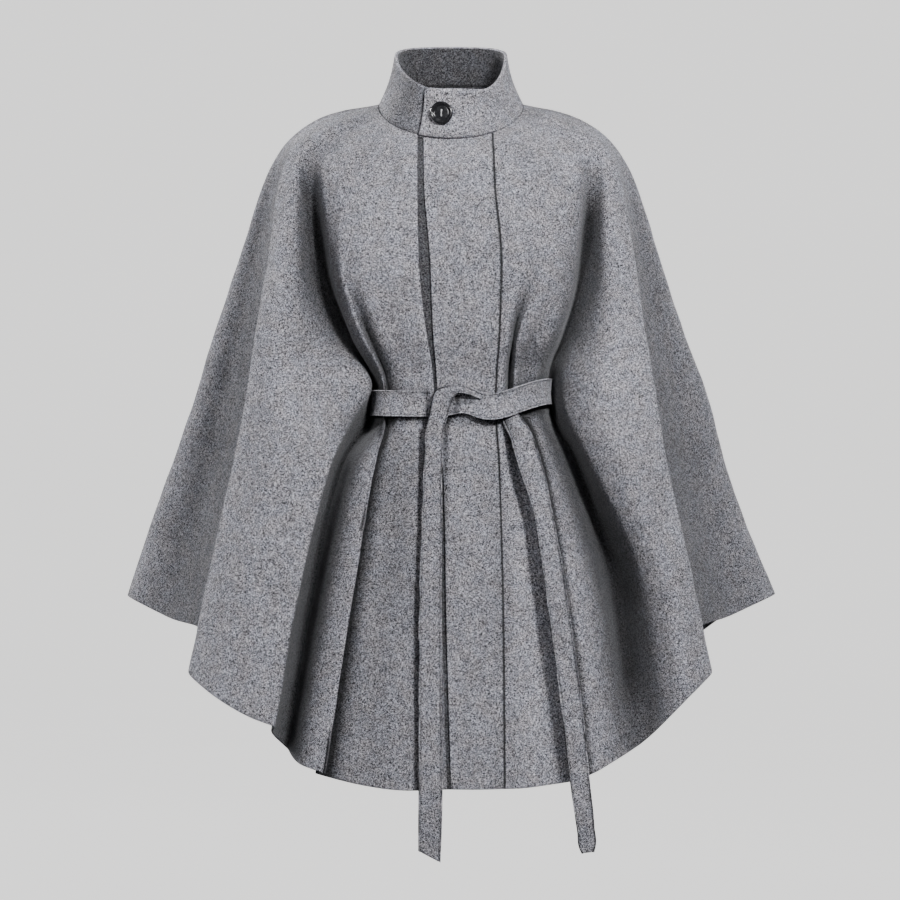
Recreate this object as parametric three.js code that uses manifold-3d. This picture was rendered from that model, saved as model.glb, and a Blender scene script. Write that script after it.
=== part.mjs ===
// Wool cape coat with a stand collar, a placket, a tied belt and one button.
// Millimetres, +Z up, the front faces -Y, the wearer's left is +X.
// The origin is the middle of the neck at the level of the shoulder necks.
import * as THREE from "three";
import Module from "manifold-3d";

const CLOTH = 2.3; // thickness of the melton cloth
const COLLAR_CLOTH = 4.0; // the collar is two layers
const BELT_CLOTH = 3.8; // the belt is two layers
const SEAM_GAP = 0.4; // space left between two sewn pieces
const UNDER_CLOTH = 2; // the strip behind the front edges
const UNDER_GAP = 1; // how far it lies behind them
const UNDER_REACH = 12; // how far it runs behind the right front

const NECK_HALF_WIDTH = 91; // neck seam, side to side
const NECK_FRONT = 76; // neck seam, forward reach
const NECK_BACK = 72; // neck seam, backward reach
const COLLAR_TOP_HALF_WIDTH = 70;
const COLLAR_TOP_FRONT = 70;
const COLLAR_TOP_BACK = 58;
const COLLAR_FRONT_LEVEL = 10.5; // the rim is held level at this height in front
const COLLAR_START = -25; // degrees, where the lapped outer end shows
const COLLAR_END = 385; // degrees, the hidden inner end
const COLLAR_LAP = 4.7; // how far the outer end stands off the inner one

const COLLAR_HOLLOW = 3.5; // how far its sides curve in between seam and rim

const CHEST_Z = -205;
const RIB_Z = -290;
const FLARE_Z = -440;
const BELT_HALF_WIDTH = 16;
const CINCH_HALF = 20; // half the height that the belt holds flat

const BUTTON_RADIUS = 14;
const BUTTON_THICK = 4.2;
const BUTTON_SEAT = 1.5; // its back, off the hollow middle of the collar

// A fold line runs from the neck seam down to the hem. Its columns are its name, its bearing on
// the neck seam in degrees (0 front, 90 the wearer's left), its place at the yoke (x, y, z), at
// the chest, rib, waist, flare and mid skirt (x, y), at the hem (x, y, z), how round it is
// (1 a soft swell, under 1 a crease), the grid steps to the next line, if the belt holds it, and
// how far it leans inwards from the belt's lower edge to its upper one.
const fold = (name, neck, yoke, chest, rib, waist, flare, mid, hem, round, steps, held, lean = 0) => (
  { name, neck, yoke, chest, rib, waist, flare, mid, hem, round, steps, held, lean }
);

const PLACKET_LINES = [
  fold("free", -22, [-33, -106, -106], [-25, -121], [-22, -113], [-17, -98], [-10, -104], [-6, -129],
    [0, -149, -838], 1, 3, 1),
  fold("middle", 6, [10, -109, -106], [18, -122], [19, -114], [19, -99], [25, -105], [29, -131],
    [32, -151, -838], 1, 3, 1),
  fold("seam", 34, [53, -106, -104], [61, -120], [59, -113], [55, -97], [58, -103], [63, -130],
    [64, -152, -837], 1, 2, 1),
];

const LEFT_LINES = [
  fold("strip", 42, [73, -103, -101], [85, -121], [70, -112], [64, -96], [70, -103], [80, -133],
    [86, -154, -836], 1, 2, 1),
  fold("crease", 48, [86, -100, -98], [100, -118], [76, -100], [70, -84], [80, -98], [104, -127],
    [121, -148, -832], 0.6, 2, 1),
  fold("lap", 52, [95, -97, -96], [112, -117], [84, -111], [78, -92], [92, -105], [128, -138],
    [148, -159, -826], 1, 2, 1),
  fold("hollow", 57, [112, -92, -93], [127, -111], [108, -100], [91, -82], [108, -98], [152, -136],
    [174, -157, -816], 1, 2, 1),
  fold("swell", 62, [134, -83, -90], [141, -101], [122, -97], [103, -76], [122, -88], [172, -124],
    [194, -144, -806], 1, 2, 1),
  fold("side", 66, [158, -70, -86], [153, -86], [133, -82], [113, -62], [136, -70], [186, -104],
    [210, -130, -798], 0.8, 2, 1),
  fold("valley", 69, [172, -57, -82], [162, -50], [140, -44], [121, -33], [152, -44], [202, -80],
    [228, -114, -788], 0.8, 2, 1),
  fold("turn", 73, [180, -54, -77], [174, -60], [154, -64], [131, -70], [167, -98], [234, -121],
    [260, -134, -755], 0.6, 2, 0),
  fold("wing", 77, [187, -51, -71], [190, -78], [188, -91], [172, -102], [204, -120], [260, -134],
    [286, -141, -728], 1, 2, 0),
  fold("breast", 80, [194, -44, -67], [209, -74], [214, -90], [216, -103], [236, -112], [277, -124],
    [303, -130, -713], 1, 2, 0),
  fold("ridge", 84, [201, -34, -65], [227, -60], [237, -78], [249, -92], [262, -98], [290, -110],
    [316, -117, -701], 0.6, 2, 0),
  fold("behind", 87, [204, -18, -60], [224, -38], [231, -48], [240, -56], [252, -60], [277, -66],
    [300, -72, -656], 0.8, 2, 0),
  fold("outer", 89, [206, -6, -56], [242, 6], [261, 8], [280, 12], [295, 14], [321, 14],
    [353, 12, -638], 1, 2, 0),
];

const SEAM_LEFT = fold("shoulder", 90, [206, 5, -50], [269, 40], [298, 46], [326, 60], [347, 66],
  [377, 72], [414, 72, -614], 1, 2, 0);

// The back hangs free of the waist in soft flutes.
const BACK_LINES = [
  fold("outer", 96, [206, 18, -54], [256, 64], [283, 74], [308, 84], [325, 90], [350, 102],
    [378, 114, -629], 1, 2, 0),
  fold("fold1", 106, [187, 44, -56], [218, 82], [240, 96], [258, 108], [270, 116], [292, 134],
    [315, 150, -676], 0.9, 3, 0),
  fold("hollow1", 118, [159, 60, -58], [178, 87], [194, 98], [207, 107], [217, 113], [238, 128],
    [259, 143, -722], 1, 3, 0),
  fold("fold2", 130, [129, 73, -60], [141, 105], [151, 119], [160, 132], [168, 142], [186, 166],
    [204, 188, -764], 0.9, 3, 0),
  fold("hollow2", 145, [94, 82, -60], [100, 106], [106, 117], [112, 126], [116, 132], [126, 148],
    [138, 163, -798], 1, 3, 0),
  fold("fold3", 160, [56, 90, -62], [60, 113], [63, 126], [66, 139], [68, 149], [74, 175],
    [82, 200, -823], 0.9, 3, 0),
  fold("centre", 180, [0, 92, -63], [2, 110], [3, 120], [4, 129], [4, 135], [5, 153],
    [6, 173, -836], 1, 3, 0),
  fold("fold4", 200, [-56, 90, -62], [-58, 112], [-60, 125], [-62, 138], [-64, 149], [-70, 176],
    [-76, 202, -824], 0.9, 3, 0),
  fold("hollow3", 215, [-94, 82, -60], [-101, 106], [-108, 116], [-114, 125], [-119, 131], [-131, 146],
    [-144, 160, -797], 1, 3, 0),
  fold("fold5", 230, [-128, 72, -58], [-142, 104], [-153, 118], [-163, 131], [-171, 141], [-190, 165],
    [-209, 186, -762], 0.9, 3, 0),
  fold("hollow4", 242, [-159, 60, -57], [-179, 87], [-195, 98], [-209, 106], [-220, 112], [-241, 126],
    [-262, 140, -721], 1, 3, 0),
  fold("fold6", 254, [-187, 44, -55], [-219, 82], [-242, 96], [-261, 108], [-274, 117], [-296, 135],
    [-318, 151, -670], 0.9, 2, 0),
  fold("outer2", 264, [-207, 18, -52], [-259, 64], [-287, 74], [-311, 84], [-329, 90], [-354, 102],
    [-378, 114, -630], 1, 2, 0),
];

const SEAM_RIGHT = fold("shoulder", 270, [-208, 5, -47], [-273, 40], [-302, 46], [-328, 60],
  [-352, 66], [-384, 72], [-413, 72, -616], 1, 2, 0);

const RIGHT_LINES = [
  fold("outer", 271, [-207, -6, -54], [-244, 6], [-264, 8], [-282, 14], [-299, 16], [-325, 16],
    [-355, 12, -641], 1, 2, 0),
  fold("behind", 273, [-205, -18, -58], [-223, -38], [-230, -50], [-239, -58], [-252, -62],
    [-278, -68], [-302, -68, -656], 0.8, 2, 0),
  fold("ridge", 276, [-201, -34, -64], [-227, -60], [-239, -80], [-251, -94], [-264, -102],
    [-292, -113], [-319, -120, -700], 0.6, 2, 0),
  fold("breast", 280, [-194, -44, -67], [-208, -80], [-212, -98], [-202, -116], [-214, -130],
    [-248, -148], [-277, -157, -730], 1, 2, 0),
  fold("wing", 284, [-186, -52, -71], [-190, -80], [-180, -93], [-150, -104], [-168, -130],
    [-208, -154], [-240, -166, -750], 1, 2, 0),
  fold("turn", 288, [-180, -54, -76], [-172, -60], [-139, -67], [-107, -84], [-141, -121],
    [-181, -152], [-209, -165, -762], 0.6, 1, 1, 12),
  fold("lip", 289.5, [-176, -55, -79], [-164, -54], [-132, -57], [-108, -68], [-145, -103],
    [-187, -134], [-213, -150, -768], 0.8, 1, 1, 10),
  fold("valley", 291, [-171, -57, -83], [-156, -47], [-125, -45], [-97, -38], [-132, -60],
    [-172, -84], [-200, -104, -792], 0.8, 2, 1, 3),
  fold("side", 295, [-157, -71, -87], [-147, -86], [-121, -91], [-88, -66], [-110, -97], [-149, -129],
    [-181, -149, -808], 0.8, 2, 1),
  fold("pleat", 299, [-136, -84, -91], [-135, -106], [-109, -106], [-81, -81], [-92, -107],
    [-126, -141], [-151, -160, -818], 0.4, 2, 1),
  fold("tuck", 302, [-111, -92, -94], [-127, -110], [-102, -98], [-77, -79], [-89, -89],
    [-124, -120], [-147, -141, -820], 0.5, 2, 1),
  fold("panel", 307, [-98, -97, -97], [-112, -116], [-90, -106], [-67, -87], [-74, -95], [-98, -124],
    [-114, -145, -832], 1, 2, 1),
  fold("chest", 318, [-72, -103, -102], [-78, -121], [-62, -112], [-45, -94], [-46, -101], [-58, -129],
    [-64, -149, -839], 1, 2, 1),
  fold("edge", 333, [-41, -105, -105], [-39, -121], [-30, -113], [-21, -97.5], [-15, -103],
    [-11, -128.5], [-5, -148.5, -838], 1, 2, 1),
];

// Rows of the grid between the stations of a fold line.
const ROW_STEPS = [
  ["cap", 2],
  ["yoke", 2],
  ["chest", 2],
  ["rib", 2],
  ["waistTop", 2],
  ["waistLow", 1],
  ["flare", 2],
  ["mid", 3],
  ["hem", 3],
];

// The belt's middle line, clockwise from its hidden inner end at the front, seen from above.
// Columns: x, y, z.
const BELT_PATH = [
  { x: 47, y: -101.5, z: -375 },
  { x: 20, y: -102.6, z: -375 },
  { x: -20, y: -101.3, z: -375 },
  { x: -46, y: -98, z: -375 },
  { x: -68, y: -91.2, z: -374.5 },
  { x: -84, y: -82.6, z: -374 },
  { x: -93, y: -68, z: -373.5 },
  { x: -97, y: -50, z: -373 },
  { x: -101, y: -28, z: -372 },
  { x: -106, y: 2, z: -370 },
  { x: -100, y: 42, z: -369 },
  { x: -72, y: 76, z: -368 },
  { x: -30, y: 92, z: -367 },
  { x: 16, y: 94, z: -366 },
  { x: 66, y: 82, z: -365 },
  { x: 104, y: 52, z: -364 },
  { x: 121, y: 12, z: -362 },
  { x: 124, y: -22, z: -360 },
  { x: 122.5, y: -45, z: -359 },
  { x: 117.5, y: -64, z: -359.5 },
  { x: 106, y: -80.5, z: -362 },
  { x: 93, y: -88.6, z: -366 },
  { x: 80, y: -96, z: -370 },
  { x: 66, y: -103.5, z: -375 },
  { x: 52, y: -107, z: -379 },
  { x: 42, y: -107.6, z: -382 },
];

// The tail that hangs from the knot in the middle. Columns: z, left and right edge, y.
const TAIL_RIGHT = [
  { z: -352, left: -19, right: 4, y: -106.5 },
  { z: -362, left: -22, right: 2, y: -106.5 },
  { z: -376, left: -26, right: -2, y: -106.5 },
  { z: -396, left: -31, right: -7, y: -108 },
  { z: -430, left: -33, right: -9, y: -112 },
  { z: -520, left: -36, right: -10, y: -123 },
  { z: -620, left: -39, right: -11, y: -136 },
  { z: -720, left: -39, right: -11, y: -147 },
  { z: -840, left: -39, right: -10, y: -158 },
  { z: -885, left: -39.5, right: -11, y: -159 },
  { z: -917, left: -39.5, right: -13, y: -159 },
];
const TAIL_RIGHT_SLANT = 7; // the lower end is cut lower on its right edge

// The tail that comes out under the belt, over the left front. Columns as above.
const TAIL_LEFT = [
  { z: -393.3, left: 62, right: 80, y: -104.6 },
  { z: -404, left: 69, right: 93, y: -109 },
  { z: -430, left: 75, right: 104, y: -117 },
  { z: -490, left: 93, right: 119, y: -131 },
  { z: -560, left: 107, right: 132, y: -144 },
  { z: -640, left: 118, right: 144, y: -155 },
  { z: -730, left: 130, right: 156, y: -162 },
  { z: -830, left: 142, right: 166, y: -168 },
  { z: -880, left: 150, right: 170, y: -169 },
  { z: -908, left: 155, right: 170, y: -169 },
];
const TAIL_LEFT_SLANT = -3;

// The strip that turns over the belt's upper edge beside the tail. Columns: x, y, z, half height.
const KNOT_STRIP = [
  { x: 4.4, y: -107.4, z: -358, half: 8 },
  { x: 14, y: -107.6, z: -357, half: 7.5 },
  { x: 26, y: -107.6, z: -360, half: 6 },
  { x: 36.8, y: -107.4, z: -363.5, half: 5 },
];
const KNOT_STRIP_THICK = 5;

const radians = (degrees) => (degrees * Math.PI) / 180;
const lerp = (a, b, t) => a.map((v, i) => v + (b[i] - v) * t);
const dist = (a, b) => Math.hypot(a[0] - b[0], a[1] - b[1], a[2] - b[2]);
const sub = (a, b) => [a[0] - b[0], a[1] - b[1], a[2] - b[2]];
const add = (a, b, k = 1) => [a[0] + b[0] * k, a[1] + b[1] * k, a[2] + b[2] * k];
const cross = (a, b) => [
  a[1] * b[2] - a[2] * b[1],
  a[2] * b[0] - a[0] * b[2],
  a[0] * b[1] - a[1] * b[0],
];
const unit = (a) => {
  const n = Math.hypot(a[0], a[1], a[2]) || 1;
  return [a[0] / n, a[1] / n, a[2] / n];
};

// The neck seam: an ellipse that dips towards the front.
function neckPoint(degrees) {
  const c = Math.cos(radians(degrees));
  const s = Math.sin(radians(degrees));
  const reach = c > 0 ? NECK_FRONT : NECK_BACK;
  return [NECK_HALF_WIDTH * s, -reach * c, 2 - 29.5 * c - 21.5 * Math.sqrt(c * c + 0.01)];
}

// The collar's upper rim: a smaller ellipse that dips more, with a low arch at the back and a
// squarer dip at the wearer's left.
function collarRimPoint(degrees) {
  const c = Math.cos(radians(degrees));
  const s = Math.sin(radians(degrees));
  const reach = c > 0 ? COLLAR_TOP_FRONT : COLLAR_TOP_BACK;
  const slope = 73 - 35 * c - 29.5 * Math.sqrt(c * c + 0.04);
  const arch = 3 * Math.max(0, -c) ** 2 - 3.5 * (1 - c * c) ** 4;
  const corner = 9 * Math.max(0, 2 * Math.max(c, 0) * s) ** 1.5;
  const over = slope + arch - corner - COLLAR_FRONT_LEVEL;
  const height = COLLAR_FRONT_LEVEL + (over + Math.hypot(over, 3)) / 2;
  return [COLLAR_TOP_HALF_WIDTH * s, -reach * c, height];
}

// Height of the belt's middle where it crosses a fold line.
function beltLevel(x) {
  if (x < 40) return -374.5;
  return -374.5 + 15.5 * Math.min(1, (x - 40) / 80);
}

// All the stations of one fold line, from the neck down.
function stations(line) {
  const neck = neckPoint(line.neck);
  const cap = lerp(neck, line.yoke, 0.5);
  cap[2] += 3 + 11 * Math.abs(Math.sin(radians(line.neck)));
  const level = beltLevel(line.waist[0]);
  const rib = [...line.rib, RIB_Z];
  const waist = [...line.waist, level];
  const flare = [...line.flare, FLARE_Z];
  const mid = [...line.mid, (FLARE_Z + line.hem[2]) / 2];
  let top = [line.waist[0] + line.lean, line.waist[1], level + CINCH_HALF];
  let low = [line.waist[0] - line.lean, line.waist[1], level - CINCH_HALF];
  if (!line.held) {
    top = lerp(waist, rib, CINCH_HALF / (RIB_Z - level));
    low = lerp(waist, flare, CINCH_HALF / (level - FLARE_Z));
  }
  return [neck, cap, line.yoke, [...line.chest, CHEST_Z], rib, top, low, flare, mid, line.hem];
}

// Slopes for a smooth run through points at parameters t that never overshoots.
function slopes(t, v) {
  const n = v.length;
  const d = [];
  for (let i = 0; i < n - 1; i++) d.push((v[i + 1] - v[i]) / (t[i + 1] - t[i]));
  const m = [d[0]];
  for (let i = 1; i < n - 1; i++) {
    if (d[i - 1] * d[i] <= 0) {
      m.push(0);
      continue;
    }
    const h0 = t[i] - t[i - 1];
    const h1 = t[i + 1] - t[i];
    const w0 = 2 * h1 + h0;
    const w1 = h1 + 2 * h0;
    m.push((w0 + w1) / (w0 / d[i - 1] + w1 / d[i]));
  }
  m.push(d[n - 2]);
  return m;
}

function hermite(p0, p1, m0, m1, f) {
  const f2 = f * f;
  const f3 = f2 * f;
  return p0 * (2 * f3 - 3 * f2 + 1) + m0 * (f3 - 2 * f2 + f) + p1 * (3 * f2 - 2 * f3) + m1 * (f3 - f2);
}

// Points down one fold line, at the grid rows.
function downLine(points, counts) {
  const t = [0];
  for (let i = 1; i < points.length; i++) t.push(t[i - 1] + dist(points[i], points[i - 1]));
  const axes = [0, 1, 2].map((k) => points.map((p) => p[k]));
  const m = axes.map((v) => slopes(t, v));
  const out = [points[0]];
  counts.forEach((count, i) => {
    const h = t[i + 1] - t[i];
    for (let s = 1; s <= count; s++) {
      out.push(axes.map((v, k) => hermite(v[i], v[i + 1], m[k][i] * h, m[k][i + 1] * h, s / count)));
    }
  });
  return out;
}

// Points across the fold lines of one row. Each line's crease sharpens from the yoke (0) down (1).
function acrossRow(row, lines, sharpness) {
  const n = row.length;
  const d = [];
  for (let i = 0; i < n - 1; i++) d.push(Math.max(dist(row[i + 1], row[i]), 1e-6));
  const m = row.map((p, i) => {
    if (i === 0) return sub(row[1], p).map((v) => v / d[0]);
    if (i === n - 1) return sub(p, row[n - 2]).map((v) => v / d[n - 2]);
    const before = sub(p, row[i - 1]).map((v) => v / d[i - 1]);
    const after = sub(row[i + 1], p).map((v) => v / d[i]);
    const ease = 1 + (lines[i].round - 1) * sharpness;
    return before.map((v, k) => ((v * d[i] + after[k] * d[i - 1]) / (d[i] + d[i - 1])) * ease);
  });
  const out = [row[0]];
  for (let i = 0; i < n - 1; i++) {
    for (let s = 1; s <= lines[i].steps; s++) {
      const f = s / lines[i].steps;
      out.push(row[i].map((v, k) => hermite(v, row[i + 1][k], m[i][k] * d[i], m[i + 1][k] * d[i], f)));
    }
  }
  return out;
}

// The top row of the grid, on the neck seam itself.
function neckRow(lines) {
  const row = [neckPoint(lines[0].neck)];
  lines.slice(0, -1).forEach((line, i) => {
    for (let s = 1; s <= line.steps; s++) {
      row.push(neckPoint(line.neck + ((lines[i + 1].neck - line.neck) * s) / line.steps));
    }
  });
  return row;
}

// Outward normals of an open grid.
function gridNormals(grid) {
  const rows = grid.length;
  const cols = grid[0].length;
  return grid.map((row, i) => row.map((p, j) => {
    const across = sub(row[Math.min(j + 1, cols - 1)], row[Math.max(j - 1, 0)]);
    const down = sub(grid[Math.min(i + 1, rows - 1)][j], grid[Math.max(i - 1, 0)][j]);
    return unit(cross(down, across));
  }));
}

// A closed wall between an outer grid and an inner one.
function wallGeometry(outer, inner) {
  const rows = outer.length;
  const cols = outer[0].length;
  const positions = [...outer.flat(2), ...inner.flat(2)];
  const index = [];
  const o = (i, j) => i * cols + j;
  const q = (i, j) => rows * cols + i * cols + j;
  const quad = (a, b, c, d) => index.push(a, b, c, a, c, d);
  for (let i = 0; i < rows - 1; i++) {
    for (let j = 0; j < cols - 1; j++) {
      quad(o(i, j), o(i + 1, j), o(i + 1, j + 1), o(i, j + 1));
      quad(q(i, j), q(i, j + 1), q(i + 1, j + 1), q(i + 1, j));
    }
  }
  for (let j = 0; j < cols - 1; j++) {
    quad(o(0, j), o(0, j + 1), q(0, j + 1), q(0, j));
    quad(o(rows - 1, j + 1), o(rows - 1, j), q(rows - 1, j), q(rows - 1, j + 1));
  }
  for (let i = 0; i < rows - 1; i++) {
    quad(o(i + 1, 0), o(i, 0), q(i, 0), q(i + 1, 0));
    quad(o(i, cols - 1), o(i + 1, cols - 1), q(i + 1, cols - 1), q(i, cols - 1));
  }
  return facing(positions, index);
}

// A geometry whose triangles face outwards.
function facing(positions, index) {
  let volume = 0;
  for (let i = 0; i < index.length; i += 3) {
    const [a, b, c] = [0, 1, 2].map((k) => positions.slice(index[i + k] * 3, index[i + k] * 3 + 3));
    const n = cross(b, c);
    volume += a[0] * n[0] + a[1] * n[1] + a[2] * n[2];
  }
  if (volume < 0) {
    for (let i = 0; i < index.length; i += 3) [index[i], index[i + 1]] = [index[i + 1], index[i]];
  }
  const g = new THREE.BufferGeometry();
  g.setAttribute("position", new THREE.Float32BufferAttribute(positions, 3));
  g.setIndex(index);
  return g;
}

// Columns first..last of the cape's grid as one panel, its sides drawn in by half a seam gap.
function panelGeometry(grid, normals, first, last) {
  const half = SEAM_GAP / 2;
  const outer = [];
  const inner = [];
  grid.forEach((row, i) => {
    const pick = row.slice(first, last + 1);
    const n = normals[i].slice(first, last + 1);
    const end = pick.length - 1;
    const shiftA = unit(sub(pick[1], pick[0]));
    const shiftB = unit(sub(pick[end - 1], pick[end]));
    const face = pick.map((p) => [...p]);
    const back = pick.map((p, j) => add(p, n[j], -CLOTH));
    face[0] = add(face[0], shiftA, half);
    back[0] = add(back[0], shiftA, half);
    face[end] = add(face[end], shiftB, half);
    back[end] = add(back[end], shiftB, half);
    outer.push(face);
    inner.push(back);
  });
  return wallGeometry(outer, inner);
}

// A flat band along a path of frames, each with a middle, a side direction and a face direction.
function bandGeometry(frames, thick) {
  const outer = [];
  const inner = [];
  frames.forEach(({ middle, side, face, half, cross: bend = 0 }) => {
    const rowOut = [];
    const rowIn = [];
    for (const s of [-1, -0.35, 0.35, 1]) {
      const dip = bend * (1 - s * s);
      const p = add(add(middle, side, half * s), face, dip);
      rowOut.push(add(p, face, thick / 2));
      rowIn.push(add(p, face, -thick / 2));
    }
    outer.push(rowOut);
    inner.push(rowIn);
  });
  return wallGeometry(outer, inner);
}

// Points along a path, evenly smooth.
function alongPath(points, count) {
  const t = [0];
  for (let i = 1; i < points.length; i++) t.push(t[i - 1] + dist(points[i], points[i - 1]));
  const n = points.length;
  const m = points.map((p, i) => {
    const a = points[Math.max(i - 1, 0)];
    const b = points[Math.min(i + 1, n - 1)];
    const h = t[Math.min(i + 1, n - 1)] - t[Math.max(i - 1, 0)];
    return sub(b, a).map((v) => v / h);
  });
  const out = [points[0]];
  for (let i = 0; i < n - 1; i++) {
    const h = t[i + 1] - t[i];
    for (let s = 1; s <= count; s++) {
      out.push([0, 1, 2].map((k) => (
        hermite(points[i][k], points[i + 1][k], m[i][k] * h, m[i + 1][k] * h, s / count)
      )));
    }
  }
  return out;
}

function beltFrames(half) {
  const middle = alongPath(BELT_PATH.map((p) => [p.x, p.y, p.z]), 3);
  return middle.map((p, i) => {
    const a = middle[Math.max(i - 1, 0)];
    const b = middle[Math.min(i + 1, middle.length - 1)];
    const along = unit(sub(b, a));
    const level = unit([along[0], along[1], 0]);
    const face = [-level[1], level[0], 0].map((v) => -v);
    const side = unit(cross(along, face));
    return { middle: p, side, face, half };
  });
}

// A tail: rows down its length, each across from its left edge to its right one.
function tailFrames(table, slant) {
  const rows = alongPath(table.map((r) => [r.left, r.right, r.z]), 2);
  const depth = alongPath(table.map((r) => [r.y, 0, r.z]), 2);
  const last = rows.length - 1;
  return rows.map(([left, right, z], i) => {
    const drop = i === last ? slant : 0;
    const a = [left, depth[i][0], z + drop];
    const b = [right, depth[i][0], z - drop];
    return { middle: lerp(a, b, 0.5), side: unit(sub(b, a)), face: [0, -1, 0], half: dist(a, b) / 2 };
  });
}

function collarGeometry() {
  const outer = [];
  const inner = [];
  const rows = 3;
  const columns = 66;
  for (let i = 0; i <= rows; i++) {
    const rise = i / rows;
    const rowOut = [];
    const rowIn = [];
    for (let j = 0; j <= columns; j++) {
      const degrees = COLLAR_START + ((COLLAR_END - COLLAR_START) * j) / columns;
      const foot = neckPoint(degrees);
      const rim = collarRimPoint(degrees);
      const up = unit(sub(rim, foot));
      const tangent = unit(sub(neckPoint(degrees + 2), neckPoint(degrees - 2)));
      const out = unit(cross(tangent, up));
      const lap = COLLAR_LAP * Math.max(0, Math.min(1, (100 - degrees) / 70));
      const hollow = -COLLAR_HOLLOW * Math.sin(Math.PI * rise);
      const p = add(lerp(add(foot, up, 0.6), rim, rise), out, lap + hollow);
      rowOut.push(p);
      rowIn.push(add(p, out, -COLLAR_CLOTH));
    }
    outer.push(rowOut);
    inner.push(rowIn);
  }
  return wallGeometry(outer, inner);
}

// A round button, turned to lie on the lapped collar front.
function buttonGeometry() {
  const r = BUTTON_RADIUS;
  const h = BUTTON_THICK;
  const profile = [
    [0, 0], [r - 2, 0], [r - 0.6, 0.6], [r, 1.8], [r - 0.5, h - 0.6], [r - 1.8, h],
    [r - 3.2, h - 0.4], [r - 4.2, h - 1.4], [r * 0.4, h - 1.8], [0, h - 1.9],
  ];
  const turns = 32;
  const positions = [0, 0, profile[0][1]];
  for (const [radius, height] of profile.slice(1, -1)) {
    for (let k = 0; k < turns; k++) {
      const a = (2 * Math.PI * k) / turns;
      positions.push(radius * Math.cos(a), radius * Math.sin(a), height);
    }
  }
  const top = positions.length / 3;
  positions.push(0, 0, profile[profile.length - 1][1]);
  const index = [];
  const rings = profile.length - 2;
  for (let k = 0; k < turns; k++) {
    const next = (k + 1) % turns;
    index.push(0, 1 + next, 1 + k);
    for (let i = 0; i < rings - 1; i++) {
      const a = 1 + i * turns;
      const b = a + turns;
      index.push(a + k, a + next, b + next, a + k, b + next, b + k);
    }
    const a = 1 + (rings - 1) * turns;
    index.push(a + k, a + next, top);
  }
  const foot = neckPoint(-8);
  const rim = collarRimPoint(-8);
  const up = unit(sub(rim, foot));
  const across = unit(sub(neckPoint(-6), neckPoint(-10)));
  const out = unit(cross(across, up));
  const seat = add(lerp(foot, rim, 0.5), out, COLLAR_LAP - COLLAR_HOLLOW + BUTTON_SEAT);
  const placed = [];
  for (let i = 0; i < positions.length; i += 3) {
    const p = add(add(add(seat, across, positions[i]), up, positions[i + 1]), out, positions[i + 2]);
    placed.push(...p);
  }
  return facing(placed, index);
}

// The strip that shows between the two front edges: the panels' own edge columns, moved inwards.
function underPlacketGeometry(grid, normals) {
  const last = grid[0].length - 1;
  const outer = [];
  const inner = [];
  grid.forEach((row, i) => {
    const reach = Math.min(1, UNDER_REACH / dist(row[last], row[last - 1]));
    const columns = [
      [lerp(row[last], row[last - 1], reach), lerp(normals[i][last], normals[i][last - 1], reach)],
      [row[last], normals[i][last]],
      [row[0], normals[i][0]],
      [row[2], normals[i][2]],
    ];
    outer.push(columns.map(([p, n]) => add(p, unit(n), -CLOTH - UNDER_GAP)));
    inner.push(columns.map(([p, n]) => add(p, unit(n), -CLOTH - UNDER_GAP - UNDER_CLOTH)));
  });
  return wallGeometry(outer, inner);
}

function toManifold(wasm, geometry) {
  return new wasm.Manifold(new wasm.Mesh({
    numProp: 3,
    vertProperties: Float32Array.from(geometry.getAttribute("position").array),
    triVerts: Uint32Array.from(geometry.index.array),
  }));
}

function fromManifold(solid) {
  const mesh = solid.getMesh();
  const g = new THREE.BufferGeometry();
  const points = new Float32Array(mesh.vertProperties.length);
  points.set(mesh.vertProperties);
  g.setAttribute("position", new THREE.BufferAttribute(points, 3));
  g.setIndex(new THREE.BufferAttribute(Uint32Array.from(mesh.triVerts), 1));
  return g;
}

const wasm = await Module();
wasm.setup();

const lines = [
  ...PLACKET_LINES,
  ...LEFT_LINES,
  SEAM_LEFT,
  ...BACK_LINES,
  SEAM_RIGHT,
  ...RIGHT_LINES,
];
const down = lines.map((line) => downLine(stations(line), ROW_STEPS.map((r) => r[1])));
const grid = down[0].map((_, i) => {
  const sharpness = Math.max(0, Math.min(1, (i - 4) / 4));
  return acrossRow(down.map((column) => column[i]), lines, sharpness);
});
grid[0] = neckRow(lines);
const normals = gridNormals(grid);
const columnOf = (lineIndex) => lines.slice(0, lineIndex).reduce((sum, l) => sum + l.steps, 0);
const placketSeam = columnOf(PLACKET_LINES.length - 1);
const leftSeam = columnOf(PLACKET_LINES.length + LEFT_LINES.length);
const rightSeam = columnOf(lines.length - 1 - RIGHT_LINES.length);
const rightEdge = columnOf(lines.length - 1);

// The belt passes through a slit in the deep fold at each side.
const beltFront = beltFrames(BELT_HALF_WIDTH + 0.6);
const slitCutters = [
  beltFront.slice(19, 27),
  beltFront.slice(49, 57),
].map((frames) => toManifold(wasm, bandGeometry(frames, BELT_CLOTH + 1.2)));

function slitPanel(first, last, cutter) {
  return fromManifold(toManifold(wasm, panelGeometry(grid, normals, first, last)).subtract(cutter));
}

const cloth = new THREE.MeshStandardMaterial({ name: "wool", color: 0x86868c, roughness: 0.95 });
const gloss = new THREE.MeshStandardMaterial({ name: "horn_black", color: 0x121214, roughness: 0.2 });

const coat = new THREE.Group();
function piece(name, geometry, material) {
  const mesh = new THREE.Mesh(geometry, material);
  mesh.name = name;
  coat.add(mesh);
}

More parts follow.
